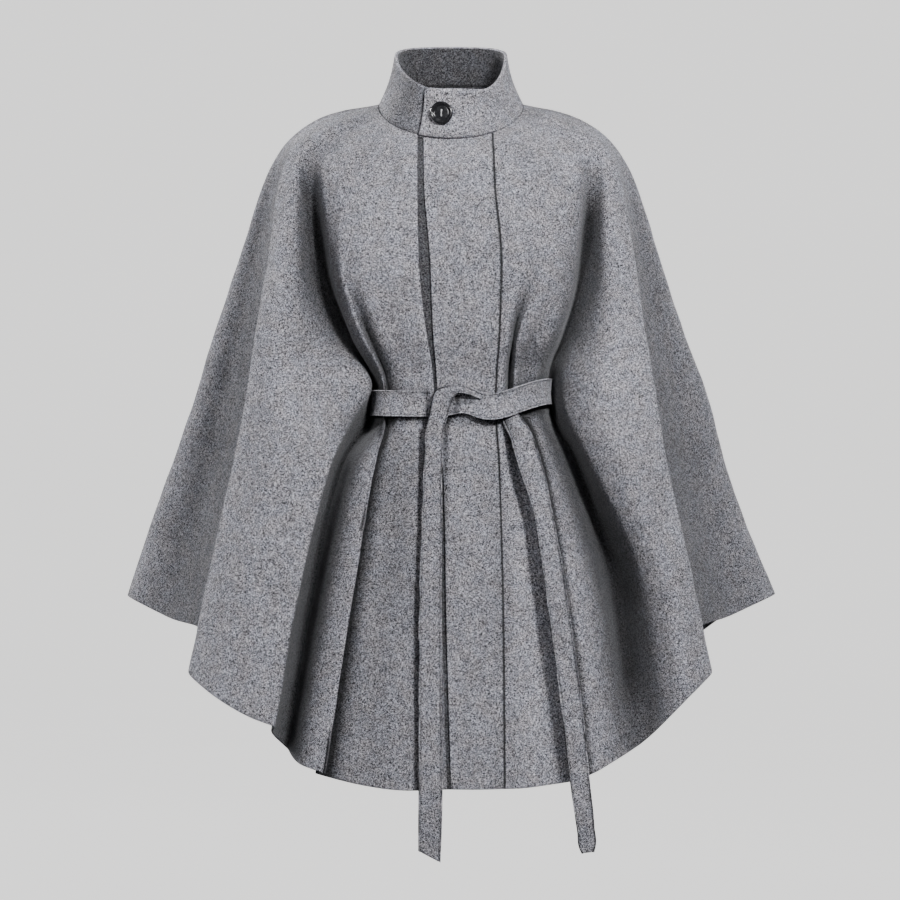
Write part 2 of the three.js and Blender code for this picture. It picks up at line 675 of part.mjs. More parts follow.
piece("placket", panelGeometry(grid, normals, 0, placketSeam), cloth);
piece("left_front", slitPanel(placketSeam, leftSeam, slitCutters[1]), cloth);
piece("back", panelGeometry(grid, normals, leftSeam, rightSeam), cloth);
piece("right_front", slitPanel(rightSeam, rightEdge, slitCutters[0]), cloth);
piece("under_placket", underPlacketGeometry(grid, normals), cloth);
piece("collar", collarGeometry(), cloth);
piece("belt", bandGeometry(beltFrames(BELT_HALF_WIDTH), BELT_CLOTH), cloth);
piece("belt_tail_right", bandGeometry(tailFrames(TAIL_RIGHT, TAIL_RIGHT_SLANT), BELT_CLOTH), cloth);
piece("belt_tail_left", bandGeometry(tailFrames(TAIL_LEFT, TAIL_LEFT_SLANT), BELT_CLOTH), cloth);
piece("belt_knot_strip", bandGeometry(KNOT_STRIP.map((k) => (
  { middle: [k.x, k.y, k.z], side: [0, 0, -1], face: [0, -1, 0], half: k.half, cross: 1 }
)), KNOT_STRIP_THICK), cloth);
piece("button", buttonGeometry(), gloss);

export default coat;
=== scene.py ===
"""Wool cape coat with a stand collar, a placket and a tied belt: looks round the fixed model.

The garment is worn but empty. The front faces -Y, the wearer's left is +X, and the origin is the
middle of the neck at the level of the shoulders. Tables are in millimetres, as the cutter works,
and meshes are in metres.
"""
import math

import bpy
import numpy as np
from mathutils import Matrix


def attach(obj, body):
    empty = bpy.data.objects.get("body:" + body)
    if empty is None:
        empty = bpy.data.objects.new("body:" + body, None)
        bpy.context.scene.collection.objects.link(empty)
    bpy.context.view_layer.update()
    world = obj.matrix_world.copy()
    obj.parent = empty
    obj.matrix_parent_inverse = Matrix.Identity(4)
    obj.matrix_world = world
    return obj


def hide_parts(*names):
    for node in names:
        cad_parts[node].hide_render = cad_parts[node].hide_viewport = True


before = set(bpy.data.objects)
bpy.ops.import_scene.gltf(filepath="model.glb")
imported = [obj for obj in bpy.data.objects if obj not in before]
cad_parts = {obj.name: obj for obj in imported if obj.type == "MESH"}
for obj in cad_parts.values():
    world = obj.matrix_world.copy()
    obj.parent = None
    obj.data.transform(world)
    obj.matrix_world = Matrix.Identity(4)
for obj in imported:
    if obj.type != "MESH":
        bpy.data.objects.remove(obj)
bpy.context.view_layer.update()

bl_info = {
    "name": "Wool cape coat",
    "version": (1, 0, 0),
    "blender": (4, 5, 0),
    "location": "3D View > Sidebar > Coat",
    "description": "Makes a belted wool cape coat in its worn, empty form",
    "category": "Add Mesh",
}

MM = 0.001


# Sizes and colours


class CoatSizes(bpy.types.PropertyGroup):
    """Sizes that a maker would change."""

    cloth: bpy.props.FloatProperty(
        name="Cloth", description="Thickness of the felted cloth", default=2.3 * MM, unit="LENGTH")
    collar_cloth: bpy.props.FloatProperty(
        name="Collar cloth", description="Thickness of the double collar", default=4.0 * MM, unit="LENGTH")
    belt_cloth: bpy.props.FloatProperty(
        name="Belt cloth", description="Thickness of the double belt", default=3.8 * MM, unit="LENGTH")
    belt_width: bpy.props.FloatProperty(
        name="Belt width", description="Height of the belt at the waist", default=32.0 * MM, unit="LENGTH")
    button_radius: bpy.props.FloatProperty(
        name="Button radius", description="Half the button's width", default=14.0 * MM, unit="LENGTH")
    collar_lap: bpy.props.FloatProperty(
        name="Collar lap", description="How far the lapped end stands off the collar", default=4.7 * MM,
        unit="LENGTH")


class CoatColours(bpy.types.PropertyGroup):
    """Colours that a maker would change."""

    fibre_dark: bpy.props.FloatVectorProperty(
        name="Dark fibre", description="Darkest fibres of the heather", subtype="COLOR",
        default=(0.006, 0.006, 0.0075))
    fibre_light: bpy.props.FloatVectorProperty(
        name="Light fibre", description="Lightest fibres of the heather", subtype="COLOR",
        default=(0.60, 0.597, 0.654))
    button: bpy.props.FloatVectorProperty(
        name="Button", description="Colour of the polished button", subtype="COLOR",
        default=(0.006, 0.006, 0.007))
    thread: bpy.props.FloatVectorProperty(
        name="Thread", description="Colour of the button's thread", subtype="COLOR",
        default=(0.55, 0.55, 0.57))
    backdrop: bpy.props.FloatVectorProperty(
        name="Backdrop", description="Colour of the studio floor and wall", subtype="COLOR",
        default=(0.80, 0.795, 0.79))


# Lights. Columns: name, place, height aimed at, size in metres, power in watts.
LAMPS = (
    ("key", (1.5, -2.85, 1.6), -0.30, 0.7, 232.0),
    ("fill", (-1.8, -3.1, 0.9), -0.45, 1.0, 54.0),
    ("top", (0.2, -1.2, 1.9), -0.30, 0.8, 8.0),
    ("back_key", (-2.9, 1.9, 1.3), -0.40, 0.6, 210.0),
    ("back_fill", (2.4, 2.5, 0.5), -0.45, 1.0, 36.0),
)
CAMERA_AT = (-0.00125, -3.6, -0.431)
LENS, SENSOR = 115.2, 36.0
FLOOR_Z, FLOOR_RADIUS, FLOOR_BEND, WALL_TOP = -1250, 6000, 1500, 7000


# The coat's tables, in millimetres

NECK_HALF_WIDTH, NECK_FRONT, NECK_BACK = 91.0, 76.0, 72.0
RIM_HALF_WIDTH, RIM_FRONT, RIM_BACK = 70.0, 70.0, 58.0
COLLAR_START, COLLAR_END = -25.0, 385.0
COLLAR_FRONT_LEVEL = 10.5  # the rim's height at the front, where it is level
COLLAR_HOLLOW = 3.5  # how far the collar's wall bends in between foot and rim
COLLAR_CORNER = 5.0  # radius of the lapped end's upper corner
CHEST_Z, RIB_Z, FLARE_Z = -205.0, -290.0, -440.0
WAIST_Z, WAIST_RISE = -374.5, 15.5  # the belt's level, and how far it rises to the wearer's left
CINCH_HALF = 20.0  # half the height that the belt holds flat
FINE = 5  # grid cells to each step of a fold line
SEAM_GAP, SHOULDER_GAP = 0.4, 0.05
UNDER_GAP = 0.3  # from the placket down to its turned edge
STRIP_DROP, STRIP_THICK = 1.0, 2.0  # the strip under the placket
STITCH_AT = 0.80  # line of stitching on a belt strip, as a share of its half width
STITCH_DEPTH = 0.5


def fold(name, neck, yoke, chest, rib, waist, flare, mid, hem, ease=1.0, steps=2, held=0, lean=0):
    """One fold line from the neck seam to the hem.

    Columns: name, bearing on the neck seam in degrees (0 front, 90 the wearer's left), place at the
    yoke (x, y, z), at the chest, rib, waist, flare and mid skirt (x, y), at the hem (x, y, z), how
    round the fold is (1 a soft swell, less a crease), grid steps to the next line, held by the belt,
    and how far it leans inwards from the belt's lower edge to its upper one.
    """
    return dict(locals())


PLACKET = [
    fold("free", -22, (-33, -106, -106), (-25, -121), (-22, -113), (-17, -98), (-10, -104), (-6, -129),
         (0, -149, -838), 1, 3, 1),
    fold("middle", 6, (10, -109, -106), (18, -122), (19, -114), (19, -99), (25, -105), (29, -131),
         (32, -151, -838), 1, 3, 1),
    fold("seam", 34, (53, -106, -104), (61, -120), (59, -113), (55, -97), (58, -103), (63, -130),
         (64, -152, -837), 1, 2, 1),
]
LEFT_FRONT = [
    fold("strip", 42, (73, -103, -101), (85, -121), (70, -112), (64, -96), (70, -103), (80, -133),
         (86, -154, -836), 1, 2, 1),
    fold("crease", 48, (86, -100, -98), (100, -118), (76, -99), (70, -81), (80, -97), (104, -127),
         (121, -148, -832), 0.6, 2, 1),
    fold("lap", 52, (95, -97, -96), (112, -117), (82, -112), (77, -94), (92, -106), (128, -139),
         (148, -159, -826), 0.8, 2, 1),
    fold("hollow", 57, (112, -92, -93), (127, -111), (108, -100), (91, -82), (108, -98), (152, -136),
         (174, -157, -816), 1, 2, 1),
    fold("swell", 62, (134, -83, -90), (141, -101), (122, -97), (103, -76), (122, -88), (172, -124),
         (194, -144, -806), 1, 2, 1),
    fold("side", 66, (158, -70, -86), (153, -86), (133, -82), (113, -62), (136, -70), (186, -104),
         (210, -130, -798), 0.8, 2, 1),
    fold("valley", 69, (172, -57, -82), (162, -48), (140, -42), (121, -32), (152, -42), (202, -78),
         (228, -114, -788), 0.8, 2, 1),
    fold("turn", 73, (180, -54, -77), (174, -60), (154, -64), (130, -72), (167, -100), (236, -122),
         (260, -134, -755), 0.5),
    fold("wing", 77, (187, -51, -71), (190, -78), (188, -91), (172, -102), (204, -120), (260, -134),
         (286, -141, -728)),
    fold("breast", 80, (194, -44, -67), (209, -74), (214, -90), (216, -103), (236, -112), (277, -124),
         (303, -130, -713)),
    fold("ridge", 84, (201, -34, -65), (227, -60), (237, -78), (249, -92), (262, -98), (290, -110),
         (316, -117, -701), 0.45),
    fold("behind", 87, (204, -18, -60), (224, -38), (231, -48), (240, -56), (252, -60), (277, -66),
         (300, -72, -656), 0.8),
    fold("outer", 89, (206, -6, -56), (242, 6), (261, 8), (280, 12), (295, 14), (321, 14), (353, 12, -638)),
]
SHOULDER_LEFT = fold("shoulder", 90, (206, 5, -50), (269, 40), (298, 46), (326, 60), (347, 66), (377, 72),
                     (414, 72, -614))
BACK = [
    fold("outer", 96, (206, 18, -54), (256, 64), (283, 74), (308, 84), (325, 90), (350, 102),
         (378, 114, -629)),
    fold("fold1", 106, (187, 44, -56), (218, 82), (240, 96), (258, 108), (270, 116), (292, 134),
         (315, 150, -676), 0.9, 3),
    fold("hollow1", 118, (159, 60, -58), (178, 87), (194, 98), (207, 107), (217, 113), (238, 128),
         (259, 143, -722), 1, 3),
    fold("fold2", 130, (129, 73, -60), (141, 105), (151, 119), (160, 132), (168, 142), (186, 166),
         (204, 188, -764), 0.9, 3),
    fold("hollow2", 145, (94, 82, -60), (100, 106), (106, 117), (112, 126), (116, 132), (126, 148),
         (138, 163, -798), 1, 3),
    fold("fold3", 160, (56, 90, -62), (60, 113), (63, 126), (66, 139), (68, 149), (74, 175),
         (82, 200, -823), 0.9, 3),
    fold("centre", 180, (0, 92, -63), (2, 110), (3, 120), (4, 129), (4, 135), (5, 153), (6, 173, -836), 1,
         3),
    fold("fold4", 200, (-56, 90, -62), (-58, 112), (-60, 125), (-62, 138), (-64, 149), (-70, 176),
         (-76, 202, -824), 0.9, 3),
    fold("hollow3", 215, (-94, 82, -60), (-101, 106), (-108, 116), (-114, 125), (-119, 131), (-131, 146),
         (-144, 160, -797), 1, 3),
    fold("fold5", 230, (-128, 72, -58), (-142, 104), (-153, 118), (-163, 131), (-171, 141), (-190, 165),
         (-209, 186, -762), 0.9, 3),
    fold("hollow4", 242, (-159, 60, -57), (-179, 87), (-195, 98), (-209, 106), (-220, 112), (-241, 126),
         (-262, 140, -721), 1, 3),
    fold("fold6", 254, (-187, 44, -55), (-219, 82), (-242, 96), (-261, 108), (-274, 117), (-296, 135),
         (-318, 151, -670), 0.9),
    fold("outer2", 264, (-207, 18, -52), (-259, 64), (-287, 74), (-311, 84), (-329, 90), (-354, 102),
         (-378, 114, -630)),
]
SHOULDER_RIGHT = fold("shoulder", 270, (-208, 5, -47), (-273, 40), (-302, 46), (-328, 60), (-352, 66),
                      (-384, 72), (-413, 72, -616))
RIGHT_FRONT = [
    fold("outer", 271, (-207, -6, -54), (-244, 6), (-264, 8), (-282, 14), (-299, 16), (-325, 16),
         (-355, 12, -641)),
    fold("behind", 273, (-205, -18, -58), (-223, -38), (-230, -50), (-239, -58), (-252, -62), (-278, -68),
         (-302, -68, -656), 0.8),
    fold("ridge", 276, (-201, -34, -64), (-227, -60), (-239, -80), (-251, -94), (-264, -102), (-292, -113),
         (-319, -120, -700), 0.35),
    fold("breast", 280, (-194, -44, -67), (-208, -80), (-212, -98), (-202, -116), (-214, -130),
         (-248, -148), (-277, -157, -730)),
    fold("wing", 284, (-186, -52, -71), (-190, -80), (-180, -93), (-150, -104), (-168, -130), (-208, -154),
         (-240, -166, -750)),
    fold("turn", 288, (-180, -54, -76), (-172, -60), (-139, -68), (-106, -86), (-141, -122), (-181, -153),
         (-209, -166, -762), 0.4, 1, 1, 13),
    fold("lip", 289.5, (-176, -55, -79), (-164, -54), (-132, -58), (-108, -70), (-146, -104), (-188, -134),
         (-214, -150, -768), 0.8, 1, 1, 11),
    fold("valley", 291, (-171, -57, -83), (-156, -46), (-125, -44), (-97, -38), (-132, -58), (-172, -82),
         (-200, -102, -792), 0.8, 2, 1, 3),
    fold("side", 295, (-157, -71, -87), (-147, -86), (-121, -91), (-88, -66), (-110, -98), (-149, -130),
         (-181, -150, -808), 0.8, 2, 1),
    fold("pleat", 299, (-136, -84, -91), (-135, -106), (-109, -106.5), (-81, -82), (-90, -108),
         (-121, -143), (-149, -162, -818), 0.4, 1, 1),
    fold("under", 300.5, (-124, -88, -92.5), (-131, -108), (-105, -102), (-79.5, -80.5), (-94.5, -98),
         (-130, -131), (-157, -150, -819), 0.6, 1, 1),
    fold("tuck", 302, (-111, -92, -94), (-127, -110), (-101, -94), (-77, -76), (-98, -82), (-137, -116),
         (-162, -138, -820), 0.6, 2, 1),
    fold("panel", 307, (-98, -97, -97), (-112, -116), (-90, -106), (-67, -87), (-74, -95), (-98, -124),
         (-114, -145, -832), 1, 2, 1),
    fold("chest", 318, (-72, -103, -102), (-78, -121), (-62, -112), (-45, -94), (-46, -101), (-58, -129),
         (-64, -149, -839), 1, 2, 1),
    fold("edge", 333, (-41, -105, -105), (-39, -121), (-30, -113), (-21, -97.5), (-15, -103), (-11, -128.5),
         (-5, -148.5, -838), 1, 2, 1),
]

# Grid rows from each station of a fold line to the next.
ROWS = [("cap", 10), ("yoke", 12), ("chest", 26), ("rib", 16), ("waist_top", 14), ("waist_low", 10),
        ("flare", 12), ("mid", 32), ("hem", 32)]

# Soft troughs (depth under 0) and swells pressed into the cloth.
# Columns: x and z where it starts, x and z where it ends, half width, depth, front (1) or back (-1).
TROUGHS = [
    (-181, -58, -170, -140, 10, -4.0, 1),
    (-170, -140, -159, -200, 9, -3.0, 1),
    (187, -58, 177, -116, 10, -4.0, 1),
    (177, -116, 164, -205, 9, -3.5, 1),
    (-60, -420, -72, -640, 16, -3.0, 1),
    (-35, -455, -40, -600, 14, 1.8, 1),
    (-58, -340, -75, -250, 12, -2.0, 1),
    (95, -300, 84, -350, 9, -3.0, 1),
    (100, -420, 118, -620, 14, -3.5, 1),
    (140, -560, 168, -740, 15, 3.0, 1),
    (205, -600, 215, -730, 12, -3.0, 1),
    (-230, -250, -215, -560, 26, 2.5, 1),
    (-190, -420, -205, -640, 18, -2.2, 1),
    (215, -240, 225, -480, 24, 2.0, 1),
    (245, -430, 262, -620, 16, -2.4, 1),
    (-30, -200, -20, -620, 24, -6.5, -1),
    (92, -260, 118, -720, 18, -6.0, -1),
    (138, -300, 168, -700, 16, 5.0, -1),
    (-175, -220, -205, -640, 17, -7.0, -1),
    (-96, -330, -118, -760, 16, -5.5, -1),
    (-60, -420, -70, -780, 14, 4.5, -1),
    (214, -260, 246, -560, 16, -5.0, -1),
    (-262, -300, -286, -560, 16, -4.0, -1),
    (50, -120, 62, -360, 20, -3.5, -1),
    (30, -480, 36, -790, 13, -4.5, -1),
]

# The belt's middle line from its end under the hanging tail, round to the other. Columns: x, y, z.
BELT_LINE = [
    (-13, -101.8, -375), (-30, -100.2, -375), (-48, -97.6, -375), (-68, -91.2, -374.5),
    (-84, -82.6, -374), (-93, -68, -373.5), (-97, -50, -373), (-101, -28, -372), (-106, 2, -370),
    (-100, 42, -369), (-72, 76, -368), (-30, 92, -367), (16, 94, -366), (66, 82, -365),
    (104, 52, -364), (121, 12, -362), (124, -22, -360), (122.5, -45, -359), (117.5, -64, -359.5),
    (106, -80.5, -362), (93, -89.5, -366), (80, -98.5, -370.5), (66, -105.5, -375.5),
    (52, -107.5, -378.8), (38, -105.8, -379), (20, -103.4, -377), (2, -102.8, -375.5),
    (-11, -102.2, -375),
]

# The strip that loops over the belt and hangs. Columns: outer edge x, z; inner edge x, z; y; crown.
TAIL_RIGHT = [
    (45, -366.5, 43, -371, -102.6, 0.0), (36, -361.5, 35.5, -369, -106.4, 0.6),
    (27, -357.8, 28, -366, -108.6, 1.4), (17, -354, 19, -363.2, -109.8, 1.8),
    (5, -352.6, 11, -362, -110.4, 2.0), (-9.7, -354.2, 6.2, -363.4, -110.2, 2.0),
    (-19.4, -359, 3.2, -367, -109.4, 1.6), (-23.8, -371, 0.2, -376, -108.4, 1.2),
    (-27.4, -389.8, -4.2, -391, -107.8, 0.8), (-31.5, -406, -8, -404, -109, 0.6),
    (-32.6, -431, -9.6, -431, -112, 0.5), (-36, -520, -10.6, -520, -123, 0.4),
    (-39, -620, -11, -620, -136, 0.4), (-39, -720, -11, -720, -147, 0.4),
    (-39, -840, -10, -840, -158, 0.4), (-39.4, -885, -11, -888, -159, 0.4),
    (-39.4, -910, -12.5, -924, -159, 0.3),
]
# The strip that comes out under the belt. Same columns, outer being the wearer's right edge.
TAIL_LEFT = [
    (55, -374, 72, -370, -94.5, 0.0), (59, -388, 78, -381, -96.5, 0.6), (65, -402, 88, -394, -103.5, 1.6),
    (71, -417, 97, -408, -111.5, 2.2), (75, -432, 104, -428, -117, 1.8), (84, -462, 113, -458, -124, 1.2),
    (97, -500, 121, -498, -132, 1.0), (107, -560, 132, -560, -143, 0.8), (118, -640, 144, -640, -154, 0.6),
    (130, -730, 156, -730, -162, 0.5), (142, -830, 166, -830, -168, 0.4), (150, -885, 171, -880, -169, 0.3),
    (153.5, -907, 172, -904, -169, 0.2), (157, -911.5, 169.5, -910, -169, 0.1),
]


# Surfaces


def neck_point(degrees):
    """Neck seam: an ellipse whose height falls towards the front by a smooth bend of the cosine."""
    a = np.radians(np.asarray(degrees, float))
    c, s = np.cos(a), np.sin(a)
    reach = np.where(c > 0, NECK_FRONT, NECK_BACK)
    return np.stack([NECK_HALF_WIDTH * s, -reach * c, 2 - 29.5 * c - 21.5 * np.sqrt(c * c + 0.01)], -1)


def rim_point(degrees):
    """Collar rim: a smaller ellipse that falls more to the front, with a low arch at the back.

    The front is held level, and the wearer's left side falls sooner, so the opening is squarer there.
    """
    a = np.radians(np.asarray(degrees, float))
    c, s = np.cos(a), np.sin(a)
    reach = np.where(c > 0, RIM_FRONT, RIM_BACK)
    height = 73 - 35 * c - 29.5 * np.sqrt(c * c + 0.04)
    height += 3 * np.maximum(0, -c) ** 2 - 3.5 * (1 - c * c) ** 4
    height -= 9 * np.maximum(0, 2 * np.maximum(c, 0) * s) ** 1.5
    over = height - COLLAR_FRONT_LEVEL
    height = COLLAR_FRONT_LEVEL + (over + np.hypot(over, 3)) / 2
    return np.stack([RIM_HALF_WIDTH * s, -reach * c, height], -1)


def unit(v):
    """Each vector over its own length."""
    return v / np.maximum(np.linalg.norm(v, axis=-1, keepdims=True), 1e-12)


def hermite(p0, p1, m0, m1, f):
    """Cubic between p0 and p1 with end slopes m0 and m1, at the fraction f."""
    f2, f3 = f * f, f * f * f
    return p0 * (2 * f3 - 3 * f2 + 1) + m0 * (f3 - 2 * f2 + f) + p1 * (3 * f2 - 2 * f3) + m1 * (f3 - f2)


def stations(line):
    """The ten places of a fold line, with the rows that the belt holds flat put in."""
    neck = neck_point(line["neck"])
    yoke = np.array(line["yoke"], float)
    cap = (neck + yoke) / 2
    cap[2] += 3 + 11 * abs(math.sin(math.radians(line["neck"])))
    x, y = line["waist"]
    level = WAIST_Z + WAIST_RISE * past(x, 40, 80)
    rib = np.array([*line["rib"], RIB_Z], float)
    waist = np.array([x, y, level], float)
    flare = np.array([*line["flare"], FLARE_Z], float)
    mid = np.array([*line["mid"], (FLARE_Z + line["hem"][2]) / 2], float)
    if line["held"]:
        top = waist + (line["lean"], 0, CINCH_HALF)
        low = waist - (line["lean"], 0, CINCH_HALF)
    else:
        top = waist + (rib - waist) * CINCH_HALF / (RIB_Z - level)
        low = waist + (flare - waist) * CINCH_HALF / (level - FLARE_Z)
    chest = np.array([*line["chest"], CHEST_Z], float)
    return np.stack([neck, cap, yoke, chest, rib, top, low, flare, mid, np.array(line["hem"], float)])


def filled(points, slopes, gaps, counts):
    """Points joined by cubics along their second axis, each gap cut into its own count of cells."""
    runs = [points[:, :1]]
    for i, count in enumerate(counts):
        f = (np.arange(1, count + 1) / count)[None, :, None]
        h = gaps[:, i:i + 1]
        runs.append(hermite(points[:, i:i + 1], points[:, i + 1:i + 2],
                            slopes[:, i:i + 1] * h, slopes[:, i + 1:i + 2] * h, f))
    return np.concatenate(runs, axis=1)


def down_lines(places):
    """Fold lines as smooth runs through their places that never overshoot.

    places is lines x stations x 3. The slope at a station is the weighted harmonic mean of the
    slopes on both sides, or nothing where they turn.
    """
    gap = np.linalg.norm(np.diff(places, axis=1), axis=2)[..., None]
    side = np.diff(places, axis=1) / gap
    h0, h1 = gap[:, :-1], gap[:, 1:]
    w0, w1 = 2 * h1 + h0, h1 + 2 * h0
    before, after = side[:, :-1], side[:, 1:]
    same = before * after > 0
    safe0, safe1 = np.where(same, before, 1.0), np.where(same, after, 1.0)
    inner = np.where(same, (w0 + w1) / (w0 / safe0 + w1 / safe1), 0.0)
    slopes = np.concatenate([side[:, :1], inner, side[:, -1:]], axis=1)
    return filled(places, slopes, gap, [count for _, count in ROWS])


def across_lines(rows, counts, roundness=1.0):
    """Rows of points joined smoothly, rounder or tighter at each point.

    rows is rows x points x 3 or more. The slope at a point is the distance-weighted mean of its two
    sides, times the roundness there.
    """
    step = np.diff(rows, axis=1)
    gap = np.maximum(np.linalg.norm(step[..., :3], axis=2), 1e-6)[..., None]
    side = step / gap
    inner = (side[:, :-1] * gap[:, 1:] + side[:, 1:] * gap[:, :-1]) / (gap[:, 1:] + gap[:, :-1])
    slopes = np.concatenate([side[:, :1], inner * roundness, side[:, -1:]], axis=1)
    return filled(rows, slopes, gap, counts)


def smooth_path(points, count):
    """A smooth line through points, with count cells between each two."""
    return across_lines(np.asarray(points, float)[None], [count] * (len(points) - 1))[0]


def grid_normals(grid):
    """Outward unit normals of an open grid whose rows run down and whose columns run to +X in front."""
    return unit(np.cross(np.gradient(grid, axis=0), np.gradient(grid, axis=1)))


def soften(grid, passes, axis):
    """Each inner point moves to the mean of itself and its two neighbours along one axis."""
    g = np.moveaxis(grid.copy(), axis, 0)
    for _ in range(passes):
        g[1:-1] = g[1:-1] * 0.5 + (g[2:] + g[:-2]) * 0.25
    return np.moveaxis(g, 0, axis)


def press_troughs(grid):
    """Moves points along their normals by the sum of soft strokes.

    A stroke's push is its depth times a bell of the distance to its line over its half width, and
    fades at the line's ends.
    """
    normals = grid_normals(grid)
    push = np.zeros(grid.shape[:2])
    for x0, z0, x1, z1, half, depth, side in TROUGHS:
        a, b = np.array([x0, z0], float), np.array([x1, z1], float)
        rel = grid[..., [0, 2]] - a
        length = np.linalg.norm(b - a)
        t = np.clip(rel @ (b - a) / length ** 2, 0, 1)
        off = np.linalg.norm(rel - t[..., None] * (b - a), axis=-1)
        fade = np.sin(np.pi * np.clip(t * 0.9 + 0.05, 0, 1)) ** 0.7
        push += np.where(grid[..., 1] * side < -40, depth * bell(off, half) * fade, 0)
    return grid + normals * push[..., None]


def lumps(grid, amount, seed):
    """Low uneven swells of worked wool: a seeded sum of slow sines of place, along the normal."""
    rng = np.random.default_rng(seed)
    push = np.zeros(grid.shape[:2])
    for wave in (140, 95, 64, 43, 30):
        for _ in range(4):
            k = unit(rng.normal(size=3)) * 2 * np.pi / wave
            push += np.sin(grid @ k + rng.uniform(0, 2 * np.pi)) * (wave / 140) ** 0.7
    return grid + grid_normals(grid) * (push * amount / 3)[..., None]


def closeness(grid, normals, reach=56, near=80.0, far=180.0):
    """How closed in each point of a row is by its own row, for the painted shade in folds: 0 on a flat
    stretch, 1 at the foot of a slit.

    On each side it takes the narrowest angle from the normal to another point of the row, less for
    points past near and none past far. It is 1 less the mean of the two over a right angle, so a
    sharp crest comes out under 0.
    """
    flat = unit(normals[..., :2])
    run = np.stack([-flat[..., 1], flat[..., 0]], -1)
    spot = grid[..., :2]
    sides = []
    for way in (1, -1):
        least = np.full(grid.shape[:2], 1.35)
        for k in range(1, reach + 1):
            here = slice(0, -k) if way > 0 else slice(k, None)
            there = slice(k, None) if way > 0 else slice(0, -k)
            line = spot[:, there] - spot[:, here]
            up = np.sum(line * flat[:, here], -1)
            off = np.sum(line * run[:, here], -1) * way
            angle = np.arctan2(np.maximum(off, 0), up) / (np.pi / 2)
            fade = np.clip((np.hypot(up, off) - near) / (far - near), 0, 1)
            angle = np.where(angle < 1, angle + (1 - angle) * fade, angle)
            least[:, here] = np.minimum(least[:, here], angle)
        sides.append(least)
    # Painted shade: the cloth's colour darkens where this is high, and a crest under 0 is painted a little
    # lighter.
    shut = (1 - (sides[0] + sides[1]) / 2)[..., None]
    return soften(soften(shut, 5, 0), 2, 1)[..., 0]


def bell(distance, half):
    """A smooth hump: 1 at no distance, about a third at the half width."""
    return np.exp(-(distance / half) ** 2)


def beside_belt(grid):
    """Painted shadow in humps along the edges of the belt and of the hanging strips, on the cloth they lie
    on.
    """
    x, y, z = np.moveaxis(grid, -1, 0)
    band = np.array(BELT_LINE)
    band = band[band[:, 1] < -40]
    band = band[np.argsort(band[:, 0])]
    level = np.interp(x, band[:, 0], band[:, 2])
    extra = 0.28 * bell(z - level + 19, 6) + 0.18 * bell(z - level - 18, 5)
    extra *= (y < -30) & (x > -101) & (x < 127)
    for table, outside, inside in ((TAIL_RIGHT, 0.26, 0.40), (TAIL_LEFT, 0.04, 0.46)):
        hang = np.array([row for row in table if row[1] < -385])[::-1]
        outer = np.interp(z, hang[:, 1], hang[:, 0])
        inner = np.interp(z, hang[:, 3], hang[:, 2])
        beside = outside * bell(x - outer + 2, 4.5) + inside * bell(x - inner - 2, 4.0)
        extra += beside * ((y < -30) & (z < -392))
    return extra


def past(value, start, run):
    """0 up to the start, 1 from the run past it."""
    return np.clip((value - start) / run, 0, 1)


def fold_marks(grid, at):
    """Painted shade and painted light in humps by grid column, faded in down the rows.

    Under the belt: painted shade at the pleat's foot, and painted light on the pleat, in the hollow on
    the wearer's left and at the crease beside the wearer's left tail. Lower than the yoke: painted shade
    on the strips behind the outer ridges. Last: painted shade on the yoke at the wearer's right.
    """
    column = np.arange(grid.shape[1])[None, :]
    x, y, drop = np.moveaxis(grid * (1, 1, -1), -1, 0)
    right = dict(zip([line["name"] for line in RIGHT_FRONT], at[-len(RIGHT_FRONT):]))
    left = dict(zip([line["name"] for line in LEFT_FRONT], at[len(PLACKET):]))
    foot = column - right["tuck"] - 3.4 - 0.6 * past(drop, 430, 90) + 0.9 * past(drop, 680, 130)
    extra = 0.30 * bell(foot, 1.5) - 0.16 * bell(foot - 5, 3) + 0.05
    extra -= 0.15 * (bell(column - right["pleat"] + 4, 5) + bell(column - left["hollow"] - 6, 9))
    extra -= 0.28 * bell(column - left["crease"] + 2, 8)
    strips = 0.06 * ((column > right["outer"] - 10) & (column < right["ridge"] - 2))
    strips = strips + 0.11 * ((column > left["ridge"] + 2) & (column < left["outer"] + 10))
    strips = soften(past(drop, 110, 90) * strips, 4, 1)
    yoke = 0.10 * past(-drop, -130, 60) * past(-x, 40, 90) * (y < 30)
    return past(drop, 392, 30) * extra + strips + yoke


def cape_grid():
    """The whole cape as one grid from the placket's free edge round the back to the right front edge."""
    lines = [*PLACKET, *LEFT_FRONT, SHOULDER_LEFT, *BACK, SHOULDER_RIGHT, *RIGHT_FRONT]
    down = down_lines(np.stack([stations(line) for line in lines]))
    row = np.arange(down.shape[1])[:, None, None]
    ease = np.array([line["ease"] for line in lines])[None, 1:-1, None]
    cells = [line["steps"] * FINE for line in lines[:-1]]
    grid = across_lines(down.swapaxes(0, 1), cells, 1 + (ease - 1) * past(row, ROWS[0][1], 26))
    grid = soften(soften(grid, 12, 0), 2, 1)
    at = np.cumsum([0] + cells)
    seam = neck_point(np.interp(np.arange(at[-1] + 1), at, [line["neck"] for line in lines]))
    grid = press_troughs(grid + (seam - grid[0]) * (1 - past(row, 0, 6)))
    grid = grid + (lumps(grid, 0.55, 5) - grid) * past(row, 0, 8)
    cut = [0, at[len(PLACKET) - 1], at[len(PLACKET) + len(LEFT_FRONT)], at[-1 - len(RIGHT_FRONT)], at[-1]]
    seams = dict(zip(("placket", "left_front", "back", "right_front"), zip(cut, cut[1:])))
    return grid, grid_normals(grid), seams, fold_marks(grid, at)


def border(grid):
    """The outermost cells of a grid, once round."""
    return np.concatenate([grid[0], grid[1:, -1], grid[-1, -2::-1], grid[-2:0:-1, 0]])


def shell_values(values, turns=6):
    """A value at each point of a wall, the same on both skins, and the border's round the edge."""
    return np.concatenate([values.ravel(), values.ravel(), np.tile(border(values), turns - 1)])


